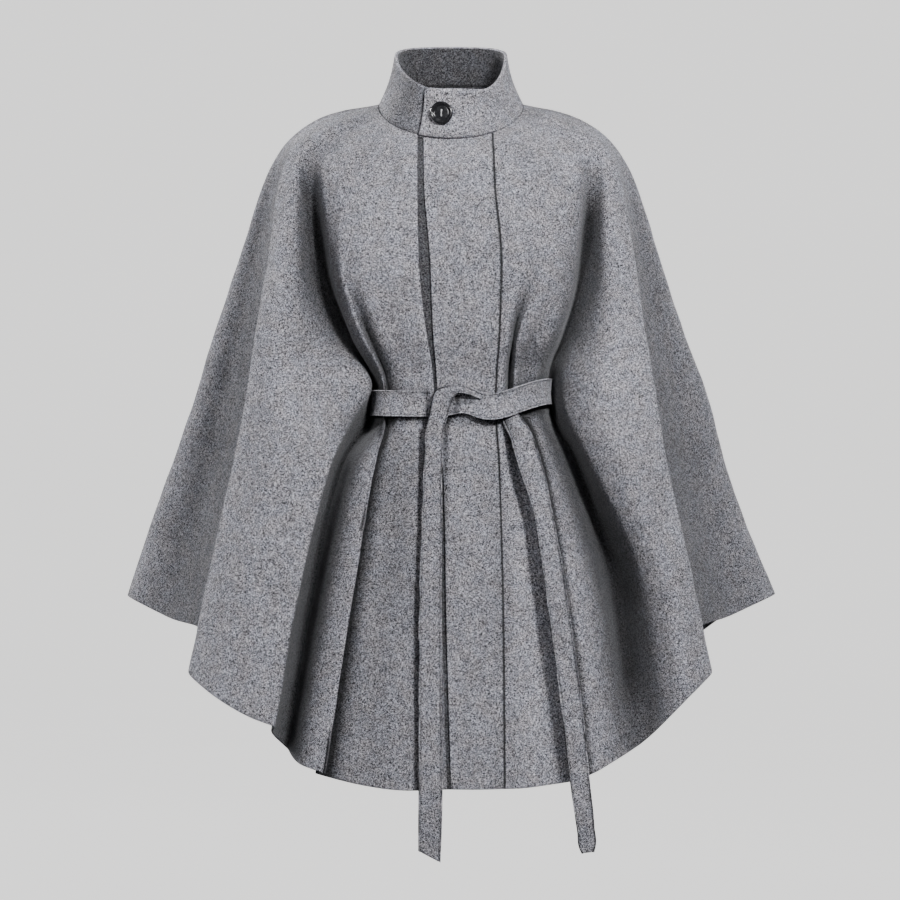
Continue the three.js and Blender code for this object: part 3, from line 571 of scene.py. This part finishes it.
def shell_parts(grid, normals, thick, turns=6):
    """Points and quads of a closed cloth wall with half-round edges.

    The outer skin is the grid, the inner one is moved in by the thickness, and the edge is a half
    circle of that thickness carried round the border.
    """
    m, n = grid.shape[:2]
    r = thick / 2
    outer = grid.copy()
    ids = np.arange(m * n).reshape(m, n)
    loop = border(ids)
    li, lj = np.divmod(loop, n)
    out = np.zeros((len(loop), 3))
    out += unit(grid[0, lj] - grid[1, lj]) * (li == 0)[:, None]
    out += unit(grid[m - 1, lj] - grid[m - 2, lj]) * (li == m - 1)[:, None]
    out += unit(grid[li, 0] - grid[li, 1]) * (lj == 0)[:, None]
    out += unit(grid[li, n - 1] - grid[li, n - 2]) * (lj == n - 1)[:, None]
    nn = normals[li, lj]
    out = unit(out - nn * np.sum(out * nn, axis=1, keepdims=True))
    outer[li, lj] = grid[li, lj] - out * r
    inner = outer - normals * thick
    centre = outer[li, lj] - nn * r
    arcs = [centre + r * (math.cos(math.pi * k / turns) * nn + math.sin(math.pi * k / turns) * out)
            for k in range(1, turns)]
    points = np.concatenate([outer.reshape(-1, 3), inner.reshape(-1, 3), *arcs])
    top = np.stack([ids[:-1, :-1], ids[1:, :-1], ids[1:, 1:], ids[:-1, 1:]], -1).reshape(-1, 4)
    under = top[:, ::-1] + m * n
    arc_ids = 2 * m * n + np.arange((turns - 1) * len(loop)).reshape(turns - 1, -1)
    rings = [loop, *arc_ids, loop + m * n]
    edge = [np.stack([a, np.roll(a, -1), np.roll(b, -1), b], -1) for a, b in zip(rings, rings[1:])]
    return points, np.concatenate([top, under, *edge])


def ring_quads(rings, sides):
    """Quads between rings of points, each ring closed on itself."""
    ids = np.arange(rings * sides).reshape(rings, sides)
    after = np.roll(ids, -1, 1)
    return np.stack([ids[:-1], after[:-1], after[1:], ids[1:]], -1).reshape(-1, 4)


def lathe(profile, sides):
    """Points of a profile of radius and height, turned round the upright axis."""
    a = np.linspace(0, 2 * np.pi, sides, endpoint=False)[None, :]
    r, height = profile[:, :1], profile[:, 1:]
    return np.stack([r * np.cos(a), r * np.sin(a), height + 0 * a], -1).reshape(-1, 3)


def tube(path, radius, sides=10):
    """A round tube: a circle of the radius carried along the path, closed to a point at each end."""
    along = unit(np.gradient(path, axis=0))
    side = unit(np.cross(along, [0.0, 0.13, 1.0]))
    lift = np.cross(side, along)
    a = np.linspace(0, 2 * np.pi, sides, endpoint=False)[None, :, None]
    t = np.linspace(0, 1, len(path))
    size = (radius * np.minimum(1, np.minimum(t, 1 - t) * 12 + 0.02))[:, None, None]
    grid = path[:, None] + size * (np.cos(a) * side[:, None] + np.sin(a) * lift[:, None])
    return grid.reshape(-1, 3), ring_quads(len(path), sides)


def make_mesh(name, points, quads, material, slot, nodes=(), shut=None):
    """A named object from points in millimetres and quads, riding on the coat.

    shut holds the painted shade and painted highlight at each point, with dark seam lines, which the
    cloth's colour reads.
    """
    points = np.asarray(points, float) * MM
    a, b, c, d = (points[quads[:, k]] for k in range(4))
    volume = np.sum(a * np.cross(b, c)) + np.sum(a * np.cross(c, d))
    if volume < 0:
        quads = quads[:, ::-1]
    mesh = bpy.data.meshes.new(name)
    mesh.from_pydata(points.tolist(), [], quads.tolist())
    mesh.polygons.foreach_set("use_smooth", np.ones(len(quads), bool))
    mesh.validate()
    if shut is not None:
        mesh.attributes.new("shut", "FLOAT", "POINT").data.foreach_set("value", shut.astype(np.float32))
    mesh.materials.append(material)
    piece = bpy.data.objects.new(name, mesh)
    bpy.context.scene.collection.objects.link(piece)
    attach(piece, "root")
    if nodes:
        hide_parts(*nodes)
    return piece


def across_strip():
    """Places across a belt strip from -1 to 1, closer together at its edges."""
    return np.sin(np.linspace(-np.pi / 2, np.pi / 2, 33))


def strip_shade(s):
    """Across a strip: a painted highlight on the turned edges, and a darker line of stitching beside them,
    partly painted shade in its groove.
    """
    return 0.26 * bell(np.abs(s) - STITCH_AT, 0.05) - 0.12 * bell(np.abs(s) - 1, 0.08)


def strip_grid(table, count=8):
    """A hanging strip from rows of its two edges: straight across, with a low crown and a stitched edge."""
    rows = smooth_path(np.array(table)[:, [0, 1, 4, 2, 3, 5]], count)
    s = across_strip()[None, :]
    f = (s + 1) / 2
    x = rows[:, 0:1] * (1 - f) + rows[:, 3:4] * f
    z = rows[:, 1:2] * (1 - f) + rows[:, 4:5] * f
    y = rows[:, 2:3] - rows[:, 5:6] * (1 - s ** 2) + STITCH_DEPTH * bell(np.abs(s) - STITCH_AT, 0.05)
    return np.stack([x, y, z], -1)


# Finishes


class Finish:
    """A new material with short ways to add and join its nodes."""

    def __init__(self, name):
        self.material = bpy.data.materials.new(name)
        self.material.use_nodes = True
        self.tree = self.material.node_tree
        self.link = self.tree.links.new
        self.inputs = self.tree.nodes["Principled BSDF"].inputs
        self.place = self.node("ShaderNodeTexCoord").outputs["Object"]

    def node(self, kind, **values):
        """A node with its settings and socket values by name."""
        made = self.tree.nodes.new(kind)
        for key, value in values.items():
            if hasattr(made, key):
                setattr(made, key, value)
            else:
                made.inputs[key.replace("_", " ")].default_value = value
        return made

    def noise(self, scale, detail=1.0, shift=(0, 0, 0), rough=0.5, bend=0.0):
        """Smooth noise of place, moved by a shift."""
        move = self.node("ShaderNodeVectorMath", operation="ADD")
        move.inputs[1].default_value = shift
        self.link(self.place, move.inputs[0])
        made = self.node("ShaderNodeTexNoise", Scale=scale, Detail=detail, Roughness=rough, Distortion=bend)
        self.link(move.outputs[0], made.inputs["Vector"])
        return made.outputs["Fac"]

    def spread(self, value, low, high, to_low=0.0, to_high=1.0, kind="SMOOTHSTEP"):
        """A value's range from low to high, carried over to another range."""
        made = self.node("ShaderNodeMapRange", From_Min=low, From_Max=high, To_Min=to_low, To_Max=to_high)
        made.interpolation_type = kind
        self.link(value, made.inputs["Value"])
        return made.outputs[0]

    def maths(self, operation, first, second=0.0):
        """One step of arithmetic on values that are numbers or node outputs."""
        made = self.node("ShaderNodeMath", operation=operation)
        for socket, value in zip(made.inputs, (first, second)):
            if isinstance(value, (int, float)):
                socket.default_value = value
            else:
                self.link(value, socket)
        return made.outputs[0]

    def ramp(self, value, *stops):
        """Colour by value. Each stop is a place from 0 to 1 and a colour."""
        made = self.node("ShaderNodeValToRGB")
        elements = made.color_ramp.elements
        while len(elements) < len(stops):
            elements.new(0.5)
        for element, (at, colour) in zip(elements, stops):
            element.position = at
            element.color = [*colour, 1]
        self.link(value, made.inputs["Fac"])
        return made.outputs["Color"]

    def bump(self, height, strength, distance):
        """A fine relief on the shader."""
        made = self.node("ShaderNodeBump", Strength=strength, Distance=distance)
        self.link(height, made.inputs["Height"])
        self.link(made.outputs[0], self.inputs["Normal"])

    def cast(self, value, colour, low, high, socket="Base Color"):
        """A colour from a darker to a lighter cast by value, on one of the shader's sockets."""
        stops = [(at, [c * factor for c in colour]) for at, factor in ((0, low), (1, high))]
        self.link(self.ramp(value, *stops), self.inputs[socket])


def wool_material(name, shade):
    """Heathered felt: curled light fibres and dark flecks on a mid tone, slow clouds, a short nap, and
    painted shade in the pieces' folds.

    A curled fibre is where a smooth noise comes close to its middle value, so it runs as a line.
    """
    finish = Finish(name)
    link, noise, spread, maths = finish.link, finish.noise, finish.spread, finish.maths

    def curls(scale, width, shift, bend):
        away = maths("ABSOLUTE", maths("SUBTRACT", noise(scale, 1.0, shift, 0.5, bend), 0.5))
        return spread(away, width, width * 0.15)

    light_curls = maths("MAXIMUM", curls(400, 0.052, (0.31, 0.12, 0.07), 0.6),
                        maths("MULTIPLY", curls(520, 0.052, (1.7, 0.9, 2.3), 0.4), 0.85))
    dark_curls = maths("MULTIPLY", curls(390, 0.04, (4.6, 3.1, 0.2), 0.8), 0.5)
    dark_flecks = spread(noise(640, 2.0, (2.7, 5.4, 1.9), 0.6), 0.45, 0.30)
    fine = spread(noise(900, 2.0, (6.0, 1.0, 3.0), 0.7), 0.25, 0.75, -0.13, 0.13)
    tangle = maths("ADD", 0.135, maths("MULTIPLY", light_curls, 0.90))
    tangle = maths("SUBTRACT", tangle, maths("MULTIPLY", maths("MAXIMUM", dark_curls, dark_flecks), 0.20))
    tangle = maths("ADD", tangle, fine)
    colours = bpy.context.scene.coat_colours
    ends = list(zip(colours.fibre_dark, colours.fibre_light))
    fibres = finish.ramp(tangle, *[
        (at, [shade * (a + (b - a) * mix) for a, b in ends])
        for at, mix in ((0.0, 0.01), (0.22, 0.10), (0.55, 0.38), (0.95, 1.0))])
    tone = maths("MULTIPLY", spread(noise(38, 3.0, (0.5, 0.2, 0.9), 0.6), 0.3, 0.7, 0.93, 1.07),
                 spread(noise(6, 2.0), 0.3, 0.7, 0.96, 1.04))
    # Painted shade and painted highlight: the tone falls to 0.06 where the cloth is most closed in and
    # along dark seam lines, and rises to 1.47 on crests and turned edges.
    shut = finish.node("ShaderNodeAttribute", attribute_name="shut").outputs["Fac"]
    tone = maths("MULTIPLY", tone, spread(shut, -0.4, 0.58, 1.47, 0.06, "LINEAR"))
    tint = finish.ramp(noise(60, 2.0, (3.0, 2.0, 1.0), 0.5),
                       (0.36, (1.02, 0.99, 0.975)), (0.64, (0.975, 0.99, 1.03)))
    tinted = finish.node("ShaderNodeVectorMath", operation="MULTIPLY")
    link(fibres, tinted.inputs[0])
    link(tint, tinted.inputs[1])
    scaled = finish.node("ShaderNodeVectorMath", operation="SCALE")
    link(tinted.outputs[0], scaled.inputs[0])
    link(tone, scaled.inputs["Scale"])
    link(scaled.outputs[0], finish.inputs["Base Color"])
    link(spread(noise(38, 3.0), 0.3, 0.7, 0.86, 0.98), finish.inputs["Roughness"])
    finish.bump(tangle, 0.5, 0.0008)
    finish.inputs["Specular IOR Level"].default_value = 0.22
    finish.inputs["Sheen Weight"].default_value = 0.22
    finish.inputs["Sheen Roughness"].default_value = 0.45
    finish.inputs["Sheen Tint"].default_value = (0.86, 0.87, 0.92, 1)
    return finish.material


def wool(dark=False):
    """The coat's cloth, or a darker copy of it for the recess under the placket and the collar's inside,
    partly darker cloth and partly painted shade, each made once.
    """
    # The darker copy is the same heather times 0.24: part of its darkness is painted shade of the places it
    # lines.
    name, shade = ("wool_charcoal", 0.24) if dark else ("wool_heather", 1.0)
    return bpy.data.materials.get(name) or wool_material(name, shade)


def button_material():
    """Polished black with the faintest cloud of tone and fine polish marks."""
    finish = Finish("button_black")
    clouds = finish.noise(220.0, 3.0)
    finish.cast(clouds, bpy.context.scene.coat_colours.button, 1, 2.6)
    finish.link(finish.spread(clouds, 0, 1, 0.12, 0.26, "LINEAR"), finish.inputs["Roughness"])
    finish.inputs["Specular IOR Level"].default_value = 0.35
    finish.inputs["Coat Weight"].default_value = 0.15
    finish.inputs["Coat Roughness"].default_value = 0.06
    return finish.material


def thread_material():
    """Twisted thread: slanting light and dark plies."""
    finish = Finish("button_thread")
    wave = finish.node("ShaderNodeTexWave", bands_direction="DIAGONAL", Scale=700.0, Distortion=1.5)
    finish.link(finish.place, wave.inputs["Vector"])
    plies = wave.outputs["Fac"]
    finish.cast(plies, bpy.context.scene.coat_colours.thread, 0.55, 1)
    finish.bump(plies, 0.4, 0.0003)
    finish.inputs["Roughness"].default_value = 0.6
    return finish.material


def backdrop_material():
    """Evenly lit studio paper: its own soft glow with a very faint cloud of tone."""
    finish = Finish("studio_paper")
    colour = bpy.context.scene.coat_colours.backdrop
    finish.cast(finish.noise(1.3, 3.0), colour, 0.98, 1.02, "Emission Color")
    finish.inputs["Emission Strength"].default_value = 1.72
    finish.inputs["Base Color"].default_value = (0.05, 0.05, 0.05, 1)
    finish.inputs["Roughness"].default_value = 0.9
    return finish.material


# Operators


class COAT_OT_panels(bpy.types.Operator):
    """Makes the placket, the two fronts, the back and the strip under the placket"""

    bl_idname = "coat.panels"
    bl_label = "Panels"

    def execute(self, context):
        thick = context.scene.coat_sizes.cloth / MM
        grid, normals, seams, marks = cape_grid()
        # Painted shade of the folds, painted shadow beside the belt and tails, and painted shade and light
        # by fold line.
        shut = np.maximum(closeness(grid, normals) + beside_belt(grid) + marks, -0.08)
        cuts = {
            "placket": ((0.090, 0.82), 0.060, ["left_front"], 0, SEAM_GAP),
            "left_front": ((0.57, 0.85), 0.293, ["placket"], SEAM_GAP, SHOULDER_GAP),
            "back": ((1.13, 0.86), 0.566, ["left_front", "right_front"], SHOULDER_GAP, SHOULDER_GAP),
            "right_front": ((0.69, 0.86), 0.349, ["back"], SHOULDER_GAP, 0),
        }
        for name, (first, last) in seams.items():
            flat, area, rests, start_gap, end_gap = cuts[name]
            part = grid[:, first:last + 1].copy()
            face = normals[:, first:last + 1]
            # This piece's painted shade, with dark seam lines set at the placket's seam.
            dark = shut[:, first:last + 1].copy()
            part[:, 0] += unit(part[:, 1] - part[:, 0]) * start_gap
            part[:, -1] += unit(part[:, -2] - part[:, -1]) * end_gap
            if name == "left_front":
                dark[:, 0] = 0.5
            if name == "placket":
                dark[:, -1] = 0.5
                turned = slice(last, last + 5, 2)
                under = grid[:, turned] - normals[:, turned] * (thick + UNDER_GAP)
                part = np.concatenate([part, under], 1)
                face = np.concatenate([face, normals[:, turned]], 1)
                # Painted shade on the turned edge hidden under the placket.
                dark = np.concatenate([dark, np.full((len(dark), 3), 0.75)], 1)
            points, quads = shell_parts(part, face, thick)
            piece = make_mesh(f"{name}_cloth", points, quads, wool(), "wool", [name], shell_values(dark))
        columns = [-1, 0, 4, 9]
        inner = grid[:, -1] + (grid[:, -5] - grid[:, -1]) * 0.9
        edge = np.concatenate([inner[:, None], grid[:, columns]], 1)
        strip = edge - unit(normals[:, [-4, *columns]]) * (thick + STRIP_DROP)
        fine = np.linspace(0, len(columns), 25)
        low = np.minimum(fine.astype(int), len(columns) - 1)
        f = (fine - low)[None, :, None]
        strip = strip[:, low] * (1 - f) + strip[:, low + 1] * f
        points, quads = shell_parts(strip, grid_normals(strip), STRIP_THICK)
        # The darker wool of this recessed strip is partly painted shade.
        piece = make_mesh("under_placket_cloth", points, quads, wool(dark=True), "wool", ["under_placket"])
        return {"FINISHED"}


class COAT_OT_collar(bpy.types.Operator):
    """Makes the two-layer stand collar, lapped at the front"""

    bl_idname = "coat.collar"
    bl_label = "Collar"

    def execute(self, context):
        sizes = context.scene.coat_sizes
        degrees = np.linspace(COLLAR_START, COLLAR_END, 361)[None, :]
        rise = np.linspace(0, 1, 25)[:, None]
        foot, rim = neck_point(degrees), rim_point(degrees)
        up = unit(rim - foot)
        along = unit(neck_point(degrees + 2) - neck_point(degrees - 2))
        out = unit(np.cross(along, up))
        start = np.radians(degrees - COLLAR_START) * 82  # along the rim, in millimetres
        short = np.clip(COLLAR_CORNER - start, 0, COLLAR_CORNER)
        drop = (COLLAR_CORNER - np.sqrt(COLLAR_CORNER ** 2 - short ** 2)) / 58
        lap = sizes.collar_lap / MM * np.clip((75 - degrees) / 55, 0, 1)
        hollow = -COLLAR_HOLLOW * np.sin(np.pi * rise)
        level = (rise * (1 - drop))[..., None]
        base = foot - up * 0.7
        grid = base * (1 - level) + rim * level + out * (lap + hollow)[..., None]
        grid = lumps(grid, 0.28, 9)
        points, quads = shell_parts(grid[::-1], grid_normals(grid[::-1]), sizes.collar_cloth / MM)
        # Painted shadow beside the lapped end and painted shade on the collar's wearer's right; a dark line
        # at the foot, partly its seam and partly painted shadow; a painted highlight along the rim.
        shut = 0.26 * bell(degrees - 360 - COLLAR_START + 1.6, 1.6) + 0.36 * bell(degrees - 316, 22)
        shut = shut + 0.16 * bell(rise - 0.02, 0.03) - 0.15 * bell(rise - 1, 0.04)
        values = shell_values(shut[::-1])
        lining_seam = 0.55 * bell(rise - 0.34, 0.022) * bell(degrees - 180, 70)
        values[shut.size:2 * shut.size] = lining_seam[::-1].ravel()
        piece = make_mesh("collar_cloth", points, quads, wool(), "wool", ["collar"], values)
        faces = (grid.shape[0] - 1) * (grid.shape[1] - 1)
        inside = np.zeros(len(quads), np.int32)
        inside[faces:2 * faces] = 1
        # The collar's inside takes the darker wool, partly painted shade.
        piece.data.materials.append(wool(dark=True))
        piece.data.polygons.foreach_set("material_index", inside)
        return {"FINISHED"}


class COAT_OT_belt(bpy.types.Operator):
    """Makes the belt, the strip looped over it and the two hanging tails"""

    bl_idname = "coat.belt"
    bl_label = "Belt"

    def execute(self, context):
        sizes = context.scene.coat_sizes
        thick = sizes.belt_cloth / MM
        half = sizes.belt_width / MM / 2
        line = smooth_path(BELT_LINE, 14)
        along = unit(np.gradient(line, axis=0))
        face = unit(np.cross(along, (0, 0, 1)))
        side = unit(np.cross(along, face))
        place = across_strip()[None, :]
        s = place[..., None]
        pinch = 1 - 0.35 * bell(line[:, 0] - 17, 17) * (line[:, 1] < 0)
        crown = 1.1 * (1 - s ** 2) - STITCH_DEPTH * bell(np.abs(s) - STITCH_AT, 0.05)
        grid = line[:, None] + side[:, None] * (half * pinch)[:, None, None] * s
        grid = lumps(grid + face[:, None] * (thick / 2 + crown), 0.3, 3)
        points, quads = shell_parts(grid, np.broadcast_to(face[:, None], grid.shape), thick)
        # Painted shadow along both edges of the strip looped over the belt, and painted shade on the belt's
        # lower half beside the knot.
        under = 0.4 * (bell(line[:, 0] + 29, 3) + bell(line[:, 0] - 7, 5)) * (line[:, 1] < 0)
        below = 0.3 * bell(line[:, :1] - 20, 12) * (place < 0)
        shut = shell_values(strip_shade(place) + under[:, None] + below)
        piece = make_mesh("belt_cloth", points, quads, wool(), "wool", ["belt"], shut)
        tails = (
            ("belt_tail_right", TAIL_RIGHT, ["belt_tail_right", "belt_knot_strip"], (0.66, 0.03), 0),
            ("belt_tail_left", TAIL_LEFT, ["belt_tail_left"], (0.55, 0.028), 0.6),
        )
        for name, table, nodes, flat, tucked in tails:
            grid = lumps(strip_grid(table), 0.35, len(table))
            grid[..., 1] -= thick / 2
            points, quads = shell_parts(grid, grid_normals(grid), thick)
            t = np.linspace(0, 1, len(grid))[:, None]
            # A little darker all over, a painted highlight along the inner turned edge, and on the wearer's
            # left tail painted shadow on its outer half where it comes out under the belt.
            shut = 0.08 + strip_shade(place) - 0.16 * bell(place - 1, 0.10)
            shut = shut + tucked * np.clip(0.5 - place, 0, 1) * np.clip(1 - t * 3.2, 0, 1)
            piece = make_mesh(f"{name}_cloth", points, quads, wool(), "wool", nodes, shell_values(shut))
        return {"FINISHED"}


class COAT_OT_button(bpy.types.Operator):
    """Makes the collar button and its thread"""

    bl_idname = "coat.button"
    bl_label = "Button"

    def execute(self, context):
        sizes = context.scene.coat_sizes
        r = sizes.button_radius / MM
        profile = smooth_path([
            (0.001, 0), (r - 2.4, 0), (r - 1.0, 0.4), (r - 0.2, 1.4), (r, 2.4), (r - 0.35, 3.4),
            (r - 1.1, 4.1), (r - 2.0, 4.3), (r - 2.9, 4.0), (r - 3.6, 3.2), (r - 4.6, 2.6),
            (r * 0.45, 2.3), (r * 0.2, 2.25), (0.001, 2.25)], 4)
        foot, rim = neck_point(-8), rim_point(-8)
        up = unit(rim - foot)
        across = unit(neck_point(-6) - neck_point(-10))
        out = unit(np.cross(across, up))
        seat = (foot + rim) / 2 + out * (sizes.collar_lap / MM - COLLAR_HOLLOW + 1.5)
        place = np.stack([across, up, out])
        points, quads = lathe(profile, 72) @ place + seat, ring_quads(len(profile), 72)
        make_mesh("button_disc", points, quads, button_material(), "button", ["button"])
        t = np.linspace(0, 1, 25)
        strands = [tube(np.stack([shift * np.cos(np.pi * t), -5.2 + 9.6 * t,
                                  2.2 + 1.3 * np.sin(np.pi * t)], -1), 0.5) for shift in (-0.45, 0.45)]
        count = len(strands[0][0])
        points = np.concatenate([s[0] for s in strands]) @ place + seat
        quads = np.concatenate([s[1] + k * count for k, s in enumerate(strands)])
        make_mesh("button_thread", points, quads, thread_material(), "wool")
        return {"FINISHED"}


class COAT_OT_stage(bpy.types.Operator):
    """Makes the studio floor and wall, the lights and the camera"""

    bl_idname = "coat.stage"
    bl_label = "Stage"

    def execute(self, context):
        scene = context.scene
        t = np.linspace(0, math.pi / 2, 24)
        bend = np.stack([FLOOR_RADIUS + FLOOR_BEND * np.sin(t), FLOOR_Z + FLOOR_BEND * (1 - np.cos(t))], -1)
        profile = np.concatenate([[[10, FLOOR_Z]], bend, [[FLOOR_RADIUS + FLOOR_BEND, WALL_TOP]]])
        points, quads = lathe(profile, 96) * MM, ring_quads(len(profile), 96)
        mesh = bpy.data.meshes.new("studio_sweep")
        mesh.from_pydata(points.tolist(), [], quads.tolist() + [list(range(96))[::-1]])
        mesh.polygons.foreach_set("use_smooth", np.ones(len(mesh.polygons), bool))
        mesh.materials.append(backdrop_material())
        sweep = bpy.data.objects.new("studio_sweep", mesh)
        scene.collection.objects.link(sweep)
        sweep.visible_diffuse = sweep.visible_glossy = sweep.visible_shadow = False
        for name, at, aim, size, power in LAMPS:
            light = bpy.data.lights.new(name, "AREA")
            light.shape, light.size, light.energy = "DISK", size, power
            lamp = bpy.data.objects.new(name, light)
            lamp.visible_camera = False
            scene.collection.objects.link(lamp)
            lamp.location = at
            away = np.array(at) - (0, 0, aim)
            lamp.rotation_euler = (math.atan2(math.hypot(away[0], away[1]), away[2]), 0,
                                   math.atan2(away[0], -away[1]))
        world = bpy.data.worlds.new("studio_air")
        world.use_nodes = True
        air = world.node_tree.nodes["Background"].inputs
        air["Color"].default_value = (0.92, 0.94, 1.0, 1)
        air["Strength"].default_value = 0.09
        scene.world = world
        lens = bpy.data.cameras.new("camera")
        lens.lens, lens.sensor_width = LENS, SENSOR
        camera = bpy.data.objects.new("camera", lens)
        scene.collection.objects.link(camera)
        camera.location = CAMERA_AT
        camera.rotation_euler = (math.pi / 2, 0, 0)
        scene.camera = camera
        return {"FINISHED"}


class COAT_PT_maker(bpy.types.Panel):
    """Lists the coat's pieces"""

    bl_idname = "COAT_PT_maker"
    bl_label = "Wool cape coat"
    bl_space_type = "VIEW_3D"
    bl_region_type = "UI"
    bl_category = "Coat"

    def draw(self, context):
        for group in (context.scene.coat_sizes, context.scene.coat_colours):
            for name in group.bl_rna.properties.keys():
                if name not in ("rna_type", "name"):
                    self.layout.prop(group, name)
        for operator in OPERATORS:
            self.layout.operator(operator.bl_idname)


OPERATORS = (COAT_OT_panels, COAT_OT_collar, COAT_OT_belt, COAT_OT_button, COAT_OT_stage)
CLASSES = (CoatSizes, CoatColours, *OPERATORS, COAT_PT_maker)


def register():
    """Adds the classes and the scene's settings."""
    for cls in CLASSES:
        bpy.utils.register_class(cls)
    bpy.types.Scene.coat_sizes = bpy.props.PointerProperty(type=CoatSizes)
    bpy.types.Scene.coat_colours = bpy.props.PointerProperty(type=CoatColours)


def unregister():
    """Takes them away again."""
    del bpy.types.Scene.coat_sizes
    del bpy.types.Scene.coat_colours
    for cls in reversed(CLASSES):
        bpy.utils.unregister_class(cls)


def main():
    """Makes every piece in order."""
    register()
    bpy.ops.coat.stage()
    bpy.ops.coat.panels()
    bpy.ops.coat.collar()
    bpy.ops.coat.belt()
    bpy.ops.coat.button()
    bpy.context.view_layer.update()


if __name__ == "__main__":
    main()
